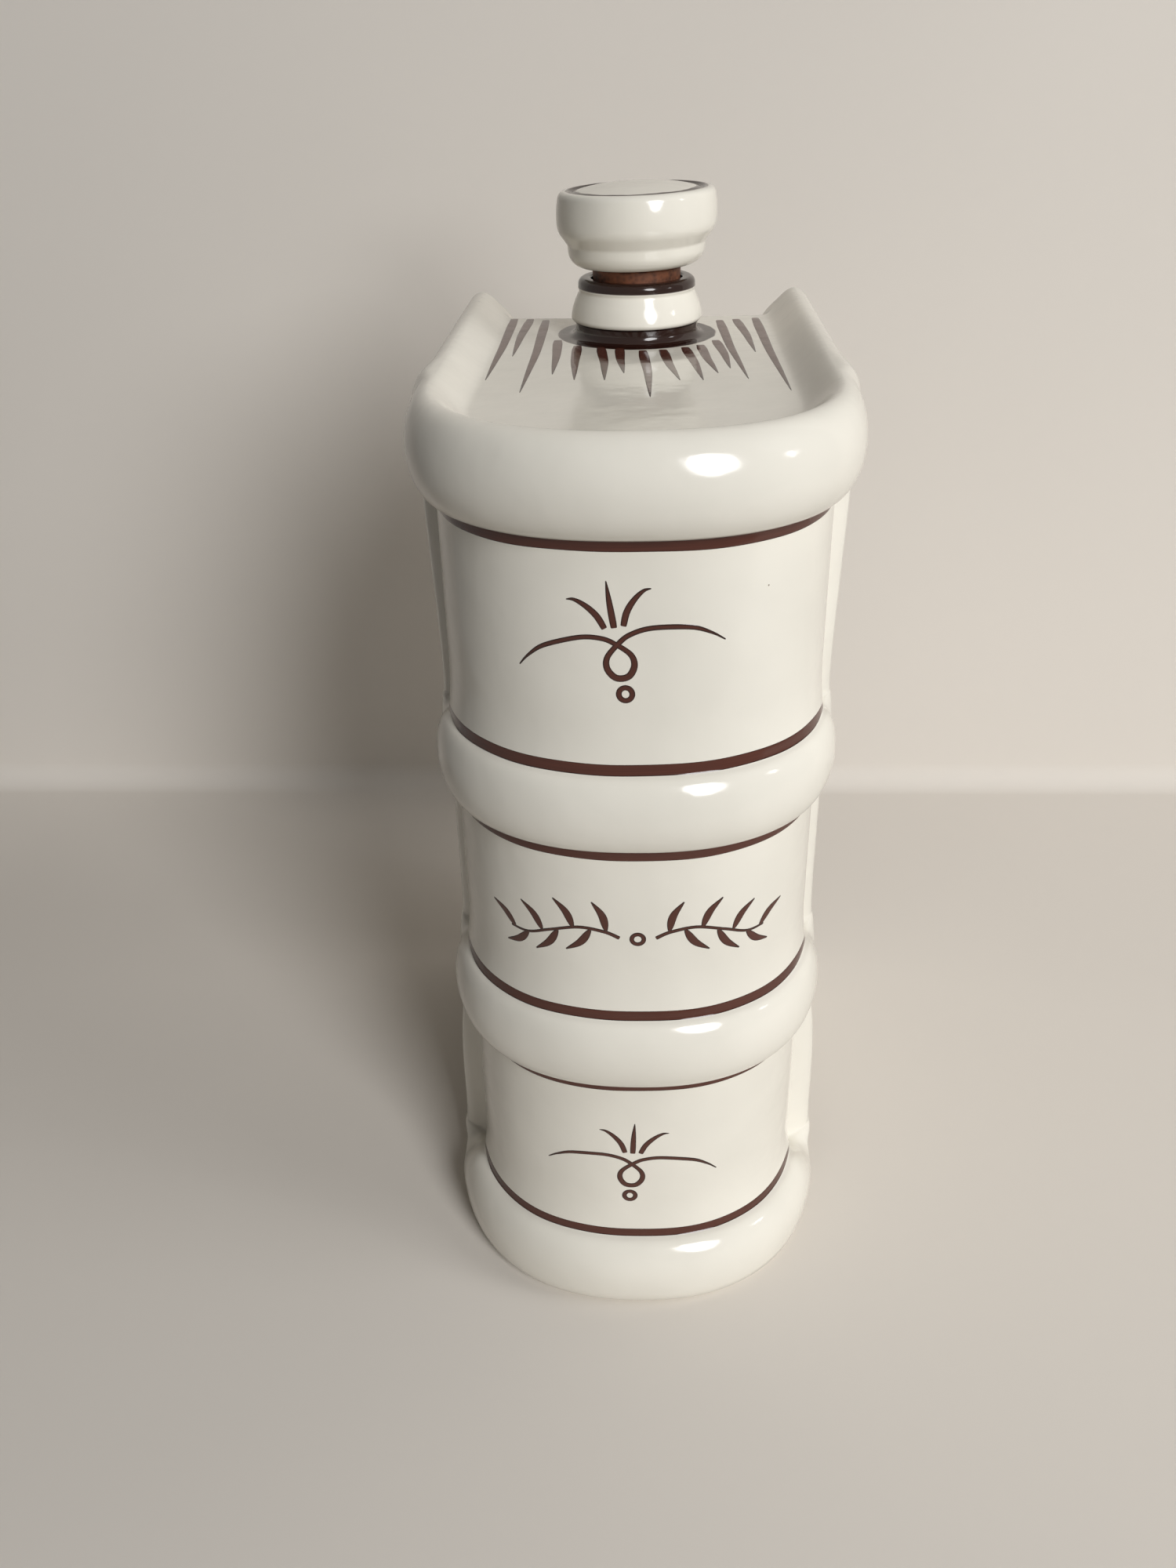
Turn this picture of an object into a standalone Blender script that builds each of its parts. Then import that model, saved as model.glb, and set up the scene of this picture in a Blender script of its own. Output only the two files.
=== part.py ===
"""A glazed porcelain spirit bottle in the shape of a closed book standing upright, spine to the front.

The bottle is one slip-cast shell with four raised rolls across its spine, two boards, a recessed page
surface on top and an off-centre neck. A porcelain knob glued on a cork closes the neck.
Lengths are in metres, +Z is up, the spine looks towards -Y and the origin is under the middle.
"""
from math import cos, pi, radians, sin

import bmesh
import bpy
import numpy as np

# Plan of the book, measured from the front of the spine's panels
SPINE_HALF_WIDTH = 0.03305
SPINE_DEPTH = 0.03285
SPINE_EXPONENT = 2.32
BOARD_HALF_WIDTH = 0.0362
BOARD_END_DEPTH = 0.1143
BOARD_EDGE_RADIUS = 0.0030
BOARD_OVERHANG = 0.0078
PAGE_HOLLOW = 0.0007
PAGE_CORNER_RADIUS = 0.00225
HINGE_WIDTH = 0.0072
HINGE_GROOVE_DEPTH = 0.0011
ROLL_FADE_LENGTH = 0.0126
ROLL_REACH_ON_BOARD_share = 0.27

# Heights of the rolls and panels, from the table up
BASE_ROLL_HEIGHT = 0.01675
LOWER_PANEL_HEIGHT = 0.0404
LOWER_ROLL_HEIGHT = 0.0160
MIDDLE_PANEL_HEIGHT = 0.0361
UPPER_ROLL_HEIGHT = 0.01485
UPPER_PANEL_HEIGHT = 0.03915
HEAD_ROLL_HEIGHT = 0.0160

# How far each roll stands out of the panels, and the panels' flare above a roll
BASE_ROLL_REACH = 0.00575
LOWER_ROLL_REACH = 0.00425
UPPER_ROLL_REACH = 0.0043
HEAD_ROLL_REACH = 0.0052
FLARE_REACH = 0.0010
FLARE_HEIGHT = 0.0099

# Top of the book
PAGE_DROP = 0.00425
PAGE_SLOPE_WIDTH = 0.0065
PAGE_EDGE_RADIUS = 0.00215

# Foot and hollow
FOOT_EDGE_RADIUS = 0.0027
FOOT_WIDTH = 0.0054
FOOT_RECESS = 0.00135
FOOT_CORNER_RADIUS = 0.0045
WALL = 0.0063
FLOOR_THICKNESS = 0.0065
CEILING_THICKNESS = 0.0062
HOLLOW_CORNER_RADIUS = 0.0054
HOLLOW_EDGE_RADIUS = 0.0036

# Neck
NECK_INSET = 0.0176
NECK_ROOT_WALL = 0.00315
NECK_ROOT_FILLET = 0.00125
NECK_ROOT_HEIGHT = 0.0027
COLLAR_FOOT_WALL = 0.0041
COLLAR_WAIST_WALL = 0.00235
COLLAR_HEIGHT = 0.00575
COLLAR_FOOT_ROUND = 0.0009
LIP_WALL = 0.0025
LIP_HEIGHT = 0.00235
BORE_MOUTH_RADIUS = 0.0089
BORE_TAPER = 0.00055
BORE_CHAMFER = 0.0005

# Stopper
CORK_CLEARANCE = 0.0003
CORK_SHOW = 0.0019
CORK_INSERTION = 0.0110
CORK_CHAMFER = 0.00055
PEG_RADIUS = 0.0036
PEG_LENGTH = 0.0080
GLUE_GAP = 0.0003
KNOB_DRUM_RADIUS = 0.0153
KNOB_DRUM_HEIGHT = 0.0079
KNOB_DRUM_BULGE = 0.00065
KNOB_RIM_ROUND = 0.00115
KNOB_GROOVE_WIDTH = 0.00225
KNOB_GROOVE_DEPTH = 0.00035
KNOB_DOME_HEIGHT = 0.00125
KNOB_STEP_WIDTH = 0.00125
KNOB_STEP_HEIGHT = 0.0018
KNOB_COLLAR_HEIGHT = 0.0038
KNOB_COLLAR_TAPER = 0.00115
KNOB_FOOT_ROUND_WIDTH = 0.00165
KNOB_FOOT_ROUND_HEIGHT = 0.0010

# Facets
SPINE_STEPS = 12
HINGE_STEPS = 5
FADE_STEPS = 2
END_STEPS = 4
BACK_STEPS = 3
FORE_EDGE_STEPS = 2
CORNER_STEPS = 3
ROLL_STEPS = 7
HEAD_ROLL_STEPS = 10
FLARE_STEPS = 3
SLOPE_STEPS = 4
DRUM_STEPS = 4
DOME_STEPS = 3
TURN_STEPS = 48

# Modelling values
OVERRUN = 0.0050
ROUNDING_LIFT = 0.0001
ROUNDING_DEGREES = 80.0
MERGE_DISTANCE = 0.00002
SHARP_EDGE_DEGREES = 40.0

# Places worked out from the sizes
OVERALL_DEPTH = BASE_ROLL_REACH + BOARD_END_DEPTH
FRONT_Y = BASE_ROLL_REACH - OVERALL_DEPTH / 2
CREST_HEIGHT = (BASE_ROLL_HEIGHT + LOWER_PANEL_HEIGHT + LOWER_ROLL_HEIGHT + MIDDLE_PANEL_HEIGHT
                + UPPER_ROLL_HEIGHT + UPPER_PANEL_HEIGHT + HEAD_ROLL_HEIGHT)
PAGE_HEIGHT = CREST_HEIGHT - PAGE_DROP
COLLAR_FOOT_HEIGHT = PAGE_HEIGHT + NECK_ROOT_HEIGHT
LIP_FOOT_HEIGHT = COLLAR_FOOT_HEIGHT + COLLAR_HEIGHT
LIP_TOP_HEIGHT = LIP_FOOT_HEIGHT + LIP_HEIGHT
CEILING_HEIGHT = PAGE_HEIGHT - CEILING_THICKNESS
CREST_LINE = BOARD_HALF_WIDTH - BOARD_EDGE_RADIUS
BOARD_INNER_X = CREST_LINE - PAGE_SLOPE_WIDTH
PAGE_DEPTH = BOARD_END_DEPTH - BOARD_OVERHANG
NECK_Y = FRONT_Y + PAGE_DEPTH - PAGE_HOLLOW - NECK_INSET
NECK_ROOT_RADIUS = BORE_MOUTH_RADIUS + NECK_ROOT_WALL
COLLAR_FOOT_RADIUS = BORE_MOUTH_RADIUS + COLLAR_FOOT_WALL
LIP_RADIUS = BORE_MOUTH_RADIUS + LIP_WALL
KNOB_RIM_RADIUS = KNOB_DRUM_RADIUS - KNOB_DRUM_BULGE
KNOB_DOME_RADIUS = KNOB_RIM_RADIUS - KNOB_RIM_ROUND - KNOB_GROOVE_WIDTH
KNOB_COLLAR_TOP_RADIUS = KNOB_RIM_RADIUS - KNOB_STEP_WIDTH
KNOB_COLLAR_LOW_RADIUS = KNOB_COLLAR_TOP_RADIUS - KNOB_COLLAR_TAPER


def clear_scene():
    for old in list(bpy.data.objects):
        bpy.data.objects.remove(old, do_unlink=True)


def make_material(name, colour, roughness, coat):
    material = bpy.data.materials.new(name)
    material.use_nodes = True
    shader = material.node_tree.nodes["Principled BSDF"]
    shader.inputs["Base Color"].default_value = (*colour, 1.0)
    shader.inputs["Metallic"].default_value = 0.0
    shader.inputs["Roughness"].default_value = roughness
    shader.inputs["Coat Weight"].default_value = coat
    return material


def finish_object(name, mesh_data, material, sharp_degrees):
    mesh = bpy.data.meshes.new(name)
    mesh_data.to_mesh(mesh)
    mesh_data.free()
    mesh.shade_smooth()
    mesh.set_sharp_from_angle(angle=radians(sharp_degrees))
    mesh.materials.append(material)
    made = bpy.data.objects.new(name, mesh)
    bpy.context.scene.collection.objects.link(made)
    return made


def smooth_step(share):
    """Runs from 0 to 1 with level ends."""
    share = np.clip(share, 0.0, 1.0)
    return share * share * (3.0 - 2.0 * share)


def half_plan():
    """The right half of the outer outline, from the middle of the spine round to the middle of the back.

    The spine is a quarter of a superellipse, the hinge eases out to the board, and the board's end is
    rounded. Returns the points and, for each, how far the rolls reach there and how deep the hinge groove is.
    """
    turn = np.linspace(0.0, pi / 2, SPINE_STEPS + 1)
    power = 2.0 / SPINE_EXPONENT
    spine_x = SPINE_HALF_WIDTH * np.sin(turn) ** power
    spine_y = SPINE_DEPTH * (1.0 - np.maximum(np.cos(turn), 0.0) ** power)

    hinge_share = np.linspace(0.0, 1.0, HINGE_STEPS + 1)[1:]
    hinge_x = SPINE_HALF_WIDTH + (BOARD_HALF_WIDTH - SPINE_HALF_WIDTH) * smooth_step(hinge_share)
    hinge_y = SPINE_DEPTH + HINGE_WIDTH * hinge_share

    fade_share = np.linspace(0.0, 1.0, FADE_STEPS + 1)[1:]
    fade_x = np.full(FADE_STEPS, BOARD_HALF_WIDTH)
    fade_y = SPINE_DEPTH + HINGE_WIDTH + ROLL_FADE_LENGTH * fade_share

    end_turn = np.linspace(0.0, pi / 2, END_STEPS + 1)
    end_x = BOARD_HALF_WIDTH - BOARD_EDGE_RADIUS * (1.0 - np.cos(end_turn))
    end_y = BOARD_END_DEPTH - BOARD_EDGE_RADIUS * (1.0 - np.sin(end_turn))

    back_share = np.linspace(1.0, 0.0, BACK_STEPS + 1)[1:]
    back_x = CREST_LINE * back_share
    back_y = np.full(BACK_STEPS, BOARD_END_DEPTH)

    x = np.concatenate([spine_x, hinge_x, fade_x, end_x, back_x])
    y = np.concatenate([spine_y, hinge_y, fade_y, end_y, back_y])
    reach = np.concatenate([np.ones(SPINE_STEPS + 1),
                            1.0 - (1.0 - ROLL_REACH_ON_BOARD_share) * smooth_step(hinge_share),
                            ROLL_REACH_ON_BOARD_share * (1.0 - smooth_step(fade_share)),
                            np.zeros(END_STEPS + 1 + BACK_STEPS)])
    groove = np.zeros(len(x))
    hinge_slice = slice(SPINE_STEPS + 1, SPINE_STEPS + 1 + HINGE_STEPS)
    groove[hinge_slice] = HINGE_GROOVE_DEPTH * np.sin(pi * np.sqrt(hinge_share)) ** 2
    return x, y, reach, groove


def close_plan(x, y, *columns):
    """Mirrors the half outline into a closed one that runs anticlockwise seen from above."""
    whole_x = np.concatenate([x, -x[-2:0:-1]])
    whole_y = np.concatenate([y, y[-2:0:-1]])
    return [whole_x, whole_y] + [np.concatenate([c, c[-2:0:-1]]) for c in columns]


def outward(x, y):
    """Unit normals of a closed outline that runs anticlockwise, from its neighbours on either side."""
    along_x = np.roll(x, -1) - np.roll(x, 1)
    along_y = np.roll(y, -1) - np.roll(y, 1)
    length = np.hypot(along_x, along_y)
    return along_y / length, -along_x / length


def roll_rows(bottom, height, reach, top_reach, steps):
    """Heights and reaches of one roll, half an ellipse from its lower crease to its upper one."""
    rows = []
    for turn in np.linspace(-pi / 2, pi / 2, steps + 1):
        start = top_reach if turn > 0.0 else 0.0
        rows.append((bottom + height * (1.0 + sin(turn)) / 2, start + (reach - start) * cos(turn)))
    return rows


def flare_rows(bottom):
    """Heights and reaches where a panel spreads out to the roll below it."""
    shares = np.linspace(0.0, 1.0, FLARE_STEPS + 1)[1:]
    return [(bottom + FLARE_HEIGHT * share, FLARE_REACH * (1.0 - share) ** 2) for share in shares]


def side_rows():
    """All rows of the spine between the foot and the head roll, with how full the hinge groove is at each."""
    base_rise = BASE_ROLL_HEIGHT / 2
    rows = []
    for turn in np.linspace(pi / 2, 0.0, CORNER_STEPS + 1):
        tuck = FOOT_EDGE_RADIUS * (1.0 - cos(turn))
        rows.append((base_rise * (1.0 - sin(turn)), BASE_ROLL_REACH, 1.0, tuck))
    for height, reach in roll_rows(0.0, BASE_ROLL_HEIGHT, BASE_ROLL_REACH, FLARE_REACH, ROLL_STEPS):
        if height > base_rise:
            rows.append((height, reach, 1.0, 0.0))
    level = BASE_ROLL_HEIGHT
    for panel, roll, reach in ((LOWER_PANEL_HEIGHT, LOWER_ROLL_HEIGHT, LOWER_ROLL_REACH),
                               (MIDDLE_PANEL_HEIGHT, UPPER_ROLL_HEIGHT, UPPER_ROLL_REACH)):
        rows += [(z, d, 0.0, 0.0) for z, d in flare_rows(level)]
        level += panel
        rows += [(z, d, 1.0, 0.0) for z, d in roll_rows(level, roll, reach, FLARE_REACH, ROLL_STEPS)]
        level += roll
    rows += [(z, d, 0.0, 0.0) for z, d in flare_rows(level)]
    return rows


def body_rings():
    """Closed rings of points up the outside of the book, from the table to the flat inside its crest."""
    x, y, reach, groove = close_plan(*half_plan())
    normal_x, normal_y = outward(x, y)

    # Hinges and boards swell and shrink straight sideways
    board_end = BOARD_END_DEPTH - BOARD_EDGE_RADIUS
    on_board = (y > SPINE_DEPTH - MERGE_DISTANCE) & (y < board_end - MERGE_DISTANCE)
    away_x = np.where(on_board, np.sign(x), normal_x)
    away_y = np.where(on_board, 0.0, normal_y)
    y = y + FRONT_Y
    rings = []

    def add(ring_x, ring_y, ring_z):
        rings.append(np.column_stack([ring_x, ring_y, np.broadcast_to(ring_z, len(x))]))

    for height, row_reach, fill, tuck in side_rows():
        out = reach * row_reach - groove * (1.0 - fill) - tuck
        add(x + away_x * out, y + away_y * out, height)

    # Head roll over the spine, and rounded crests on the boards
    head_bottom = CREST_HEIGHT - HEAD_ROLL_HEIGHT
    half_steps = HEAD_ROLL_STEPS // 2
    for step in range(HEAD_ROLL_STEPS + 1):
        turn = -pi / 2 + pi * step / HEAD_ROLL_STEPS
        roll_out = HEAD_ROLL_REACH * cos(turn)
        roll_z = head_bottom + HEAD_ROLL_HEIGHT * (1.0 + sin(turn)) / 2
        if step <= half_steps:
            board_out = 0.0
            board_z = head_bottom + (HEAD_ROLL_HEIGHT - BOARD_EDGE_RADIUS) * step / half_steps
        else:
            rise = pi / 2 * (step - half_steps) / half_steps
            board_out = -BOARD_EDGE_RADIUS * (1.0 - cos(rise))
            board_z = CREST_HEIGHT - BOARD_EDGE_RADIUS * (1.0 - sin(rise))
        out = reach * roll_out + (1.0 - reach) * board_out
        add(x + away_x * out, y + away_y * out, reach * roll_z + (1.0 - reach) * board_z)
    return rings


def page_rings():
    """Rings of the cutter for the pages' recess, whose sides slope from the crest down to the pages."""
    rings = []

    def add(inset, level):
        back = BOARD_END_DEPTH + OVERRUN
        x, y = rounded_plan(inset, SPINE_HALF_WIDTH - inset, CREST_LINE - inset, back, 0.0)
        rings.append(np.column_stack([x, y, np.full(len(x), level)]))

    add(PAGE_SLOPE_WIDTH, PAGE_HEIGHT)
    for step in range(1, SLOPE_STEPS):
        share = step / SLOPE_STEPS
        add(PAGE_SLOPE_WIDTH * (1.0 - share), PAGE_HEIGHT + PAGE_DROP * float(smooth_step(share)))
    add(0.0, CREST_HEIGHT + ROUNDING_LIFT)
    add(0.0, CREST_HEIGHT + OVERRUN)
    return rings


def fore_edge_rings():
    """Rings of the cutter for the fore-edge between the boards, which rounds the edges that it leaves."""
    rounding = np.linspace(0.0, radians(ROUNDING_DEGREES), CORNER_STEPS + 1)
    flare_x = BOARD_INNER_X + BOARD_EDGE_RADIUS * (1.0 - np.cos(rounding[::-1]))
    flare_y = BOARD_END_DEPTH - BOARD_EDGE_RADIUS * (1.0 - np.sin(rounding[::-1])) + ROUNDING_LIFT
    corner_turn = np.linspace(0.0, pi / 2, CORNER_STEPS + 1)
    corner_x = BOARD_INNER_X - PAGE_CORNER_RADIUS * (1.0 - np.cos(corner_turn))
    corner_y = PAGE_DEPTH + PAGE_CORNER_RADIUS * (1.0 - np.sin(corner_turn))
    fore_share = np.linspace(1.0, 0.0, FORE_EDGE_STEPS + 1)[1:]
    fore_x = (BOARD_INNER_X - PAGE_CORNER_RADIUS) * fore_share
    fore_y = PAGE_DEPTH - PAGE_HOLLOW * (1.0 - fore_share ** 2)
    half_x = np.concatenate([flare_x[:1], flare_x, corner_x, fore_x])
    half_y = np.concatenate([[BOARD_END_DEPTH + OVERRUN], flare_y, corner_y, fore_y])
    x = np.concatenate([-half_x, half_x[-2::-1]])
    y = np.concatenate([half_y, half_y[-2::-1]])
    normal_x, normal_y = outward(x, y)
    rings = [np.column_stack([x, y + FRONT_Y, np.full(len(x), -OVERRUN)])]
    for turn in rounding:
        pull = PAGE_EDGE_RADIUS * (1.0 - cos(turn))
        level = PAGE_HEIGHT - PAGE_EDGE_RADIUS * (1.0 - sin(turn)) + ROUNDING_LIFT
        row_x = x + normal_x * pull
        row_y = y + normal_y * pull + FRONT_Y
        rings.append(np.column_stack([row_x, row_y, np.full(len(x), level)]))
    rings.append(rings[-1] + np.array([0.0, 0.0, PAGE_DROP + OVERRUN]))
    return rings


def rounded_plan(front, spine_half_width, board_half_width, back, corner_radius):
    """An outline like the book's: rounded spine, straight sides and back corners of a radius."""
    power = 2.0 / SPINE_EXPONENT
    turn = np.linspace(0.0, pi / 2, SPINE_STEPS + 1)
    arc_x = spine_half_width * np.sin(turn) ** power
    arc_y = front + (SPINE_DEPTH - front) * (1.0 - np.maximum(np.cos(turn), 0.0) ** power)
    corner_turn = np.linspace(0.0, pi / 2, CORNER_STEPS + 1)
    corner_x = board_half_width - corner_radius * (1.0 - np.cos(corner_turn))
    corner_y = back - corner_radius * (1.0 - np.sin(corner_turn))
    x = np.concatenate([arc_x, [board_half_width], corner_x, [0.0]])
    y = np.concatenate([arc_y, [SPINE_DEPTH + HINGE_WIDTH], corner_y, [back]])
    whole_x, whole_y = close_plan(x, y)
    return whole_x, whole_y + FRONT_Y


def inset_plan(inset, corner_radius):
    """The outline an inset inside the spine's panels, the boards and the middle of the fore-edge."""
    back = PAGE_DEPTH - PAGE_HOLLOW - inset
    return rounded_plan(inset, SPINE_HALF_WIDTH - inset, BOARD_HALF_WIDTH - inset, back, corner_radius)


def hollow_rings():
    """Rings of the hollow inside, a wall's thickness in, with rounded edges at its floor and ceiling."""
    rings = []

    def add(turn, level):
        x, y = inset_plan(WALL + HOLLOW_EDGE_RADIUS * (1.0 - cos(turn)), HOLLOW_CORNER_RADIUS)
        rings.append(np.column_stack([x, y, np.full(len(x), level)]))

    for turn in np.linspace(pi / 2, 0.0, CORNER_STEPS + 1):
        add(turn, FOOT_RECESS + FLOOR_THICKNESS + HOLLOW_EDGE_RADIUS * (1.0 - sin(turn)))
    for turn in np.linspace(0.0, pi / 2, CORNER_STEPS + 1):
        add(turn, CEILING_HEIGHT - HOLLOW_EDGE_RADIUS * (1.0 - sin(turn)))
    return rings


def foot_recess_rings():
    """Rings of the shallow recess that leaves a flat foot ring round the underside."""
    x, y = inset_plan(FOOT_EDGE_RADIUS + FOOT_WIDTH, FOOT_CORNER_RADIUS)
    return [np.column_stack([x, y, np.full(len(x), level)]) for level in (-OVERRUN, FOOT_RECESS)]


def neck_profile():
    """Radius and height of the neck's outside, from inside the ceiling up over the lip."""
    lip_round = LIP_HEIGHT / 2
    return [
        (NECK_ROOT_RADIUS + 2 * NECK_ROOT_FILLET, PAGE_HEIGHT - CEILING_THICKNESS / 2),
        (NECK_ROOT_RADIUS + 2 * NECK_ROOT_FILLET, PAGE_HEIGHT - NECK_ROOT_FILLET),
        (NECK_ROOT_RADIUS, PAGE_HEIGHT + NECK_ROOT_FILLET),
        (NECK_ROOT_RADIUS, COLLAR_FOOT_HEIGHT),
        (COLLAR_FOOT_RADIUS - COLLAR_FOOT_ROUND, COLLAR_FOOT_HEIGHT),
        (COLLAR_FOOT_RADIUS, COLLAR_FOOT_HEIGHT + COLLAR_FOOT_ROUND),
        (BORE_MOUTH_RADIUS + COLLAR_WAIST_WALL, LIP_FOOT_HEIGHT),
        (LIP_RADIUS, LIP_FOOT_HEIGHT + lip_round),
        (LIP_RADIUS - lip_round, LIP_TOP_HEIGHT),
    ]


def bore_radius(height):
    """Radius of the tapered bore at a height."""
    share = (LIP_TOP_HEIGHT - height) / (LIP_TOP_HEIGHT - CEILING_HEIGHT)
    return BORE_MOUTH_RADIUS - BORE_TAPER * share


def bore_profile():
    """Radius and height of the cutter for the bore, from its chamfered mouth down into the hollow."""
    low = CEILING_HEIGHT - HOLLOW_EDGE_RADIUS
    return [
        (BORE_MOUTH_RADIUS + 2 * BORE_CHAMFER, LIP_TOP_HEIGHT + BORE_CHAMFER),
        (BORE_MOUTH_RADIUS, LIP_TOP_HEIGHT - BORE_CHAMFER),
        (bore_radius(low), low),
    ]


def loft(name, rings, material):
    """Bridges closed rings one after the other and closes both ends with a flat face."""
    mesh_data = bmesh.new()
    made = [[mesh_data.verts.new(point) for point in ring] for ring in rings]
    for low, high in zip(made[:-1], made[1:]):
        for a in range(len(low)):
            b = (a + 1) % len(low)
            mesh_data.faces.new((low[a], low[b], high[b], high[a]))
    mesh_data.faces.new(made[0][::-1])
    mesh_data.faces.new(made[-1])
    bmesh.ops.remove_doubles(mesh_data, verts=mesh_data.verts, dist=MERGE_DISTANCE)
    bmesh.ops.dissolve_degenerate(mesh_data, edges=mesh_data.edges, dist=MERGE_DISTANCE)
    bmesh.ops.triangulate(mesh_data, faces=mesh_data.faces)
    bmesh.ops.recalc_face_normals(mesh_data, faces=mesh_data.faces)
    return finish_object(name, mesh_data, material, SHARP_EDGE_DEGREES)


def combine(target, tool, operation):
    """Joins the tool to the target or cuts it away, and keeps the tool as a wire guide."""
    tool.hide_render = True
    tool.display_type = "WIRE"
    modifier = target.modifiers.new(tool.name, "BOOLEAN")
    modifier.operation = operation
    modifier.solver = "EXACT"
    modifier.object = tool


def turned(name, profile, material):
    """Spins a profile of radius and height about the neck's axis and closes its flat ends."""
    mesh_data = bmesh.new()
    verts = [mesh_data.verts.new((radius, 0.0, height)) for radius, height in profile]
    edges = [mesh_data.edges.new(pair) for pair in zip(verts[:-1], verts[1:])]
    bmesh.ops.spin(mesh_data, geom=verts + edges, cent=(0.0, 0.0, 0.0), axis=(0.0, 0.0, 1.0),
                   angle=2 * pi, steps=TURN_STEPS, use_merge=True)
    bmesh.ops.remove_doubles(mesh_data, verts=mesh_data.verts, dist=MERGE_DISTANCE)
    bmesh.ops.holes_fill(mesh_data, edges=[edge for edge in mesh_data.edges if edge.is_boundary], sides=0)
    bmesh.ops.recalc_face_normals(mesh_data, faces=mesh_data.faces)
    return finish_object(name, mesh_data, material, SHARP_EDGE_DEGREES)


def cork_profile():
    """The cork: tapered like the bore, with a blind hole in its top for the knob's peg."""
    low = LIP_TOP_HEIGHT - CORK_INSERTION
    top = LIP_TOP_HEIGHT + CORK_SHOW
    hole = PEG_RADIUS + GLUE_GAP
    hole_floor = top - PEG_LENGTH - GLUE_GAP
    low_radius = bore_radius(low) - CORK_CLEARANCE
    top_radius = bore_radius(top) - CORK_CLEARANCE
    return [
        (low_radius - CORK_CHAMFER, low),
        (low_radius, low + CORK_CHAMFER),
        (top_radius, top),
        (hole, top),
        (hole, hole_floor),
    ]


def knob_profile():
    """The knob: peg, tapered collar, hollow step and a drum with a shallow groove round a low dome."""
    foot = LIP_TOP_HEIGHT + CORK_SHOW + GLUE_GAP
    collar_top = foot + KNOB_COLLAR_HEIGHT
    drum_low = collar_top + KNOB_STEP_HEIGHT
    drum_top = drum_low + KNOB_DRUM_HEIGHT
    peg_foot = foot - PEG_LENGTH
    profile = [
        (PEG_RADIUS - GLUE_GAP, peg_foot),
        (PEG_RADIUS, peg_foot + GLUE_GAP),
        (PEG_RADIUS, foot),
        (KNOB_COLLAR_LOW_RADIUS - KNOB_FOOT_ROUND_WIDTH, foot),
        (KNOB_COLLAR_LOW_RADIUS, foot + KNOB_FOOT_ROUND_HEIGHT),
        (KNOB_COLLAR_TOP_RADIUS, collar_top),
    ]
    for turn in np.linspace(0.0, pi / 2, CORNER_STEPS + 1)[1:]:
        radius = KNOB_COLLAR_TOP_RADIUS + KNOB_STEP_WIDTH * (1.0 - cos(turn))
        profile.append((radius, collar_top + KNOB_STEP_HEIGHT * sin(turn)))
    side_height = KNOB_DRUM_HEIGHT - KNOB_RIM_ROUND
    for step in range(1, DRUM_STEPS):
        radius = KNOB_RIM_RADIUS + KNOB_DRUM_BULGE * sin(pi * step / DRUM_STEPS)
        profile.append((radius, drum_low + side_height * step / DRUM_STEPS))
    for turn in np.linspace(0.0, pi / 2, CORNER_STEPS + 1):
        radius = KNOB_RIM_RADIUS - KNOB_RIM_ROUND * (1.0 - cos(turn))
        profile.append((radius, drum_top - KNOB_RIM_ROUND * (1.0 - sin(turn))))
    profile.append((KNOB_DOME_RADIUS + KNOB_GROOVE_WIDTH / 2, drum_top - KNOB_GROOVE_DEPTH))
    for step in range(DOME_STEPS + 1):
        share = 1.0 - step / DOME_STEPS
        profile.append((KNOB_DOME_RADIUS * share, drum_top + KNOB_DOME_HEIGHT * (1.0 - share ** 2)))
    return profile


def main():
    clear_scene()
    glaze = make_material("white_glazed_porcelain", (0.86, 0.84, 0.78), 0.12, 0.6)
    bark = make_material("natural_cork", (0.20, 0.11, 0.06), 0.75, 0.0)

    neck_axis = bpy.data.objects.new("neck_axis", None)
    neck_axis.location = (0.0, NECK_Y, 0.0)
    bpy.context.scene.collection.objects.link(neck_axis)

    body = loft("bottle_body", body_rings(), glaze)
    neck = turned("neck_form", neck_profile(), glaze)
    bore = turned("bore_cutter", bore_profile(), glaze)
    combine(body, loft("page_cutter", page_rings(), glaze), "DIFFERENCE")
    combine(body, loft("fore_edge_cutter", fore_edge_rings(), glaze), "DIFFERENCE")
    combine(body, loft("foot_recess_cutter", foot_recess_rings(), glaze), "DIFFERENCE")
    combine(body, neck, "UNION")
    combine(body, loft("hollow_cutter", hollow_rings(), glaze), "DIFFERENCE")
    combine(body, bore, "DIFFERENCE")

    cork = turned("stopper_cork", cork_profile(), bark)
    knob = turned("stopper_knob", knob_profile(), glaze)
    for piece in (neck, bore, cork, knob):
        piece.parent = neck_axis


main()
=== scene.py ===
"""Looks of a glazed porcelain spirit bottle shaped as a closed book, with painted bands and a stopper."""
from math import cos, pi, radians, sin

import bmesh
import bpy
import numpy as np
from mathutils import Matrix, Vector
from mathutils.geometry import delaunay_2d_cdt

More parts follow.
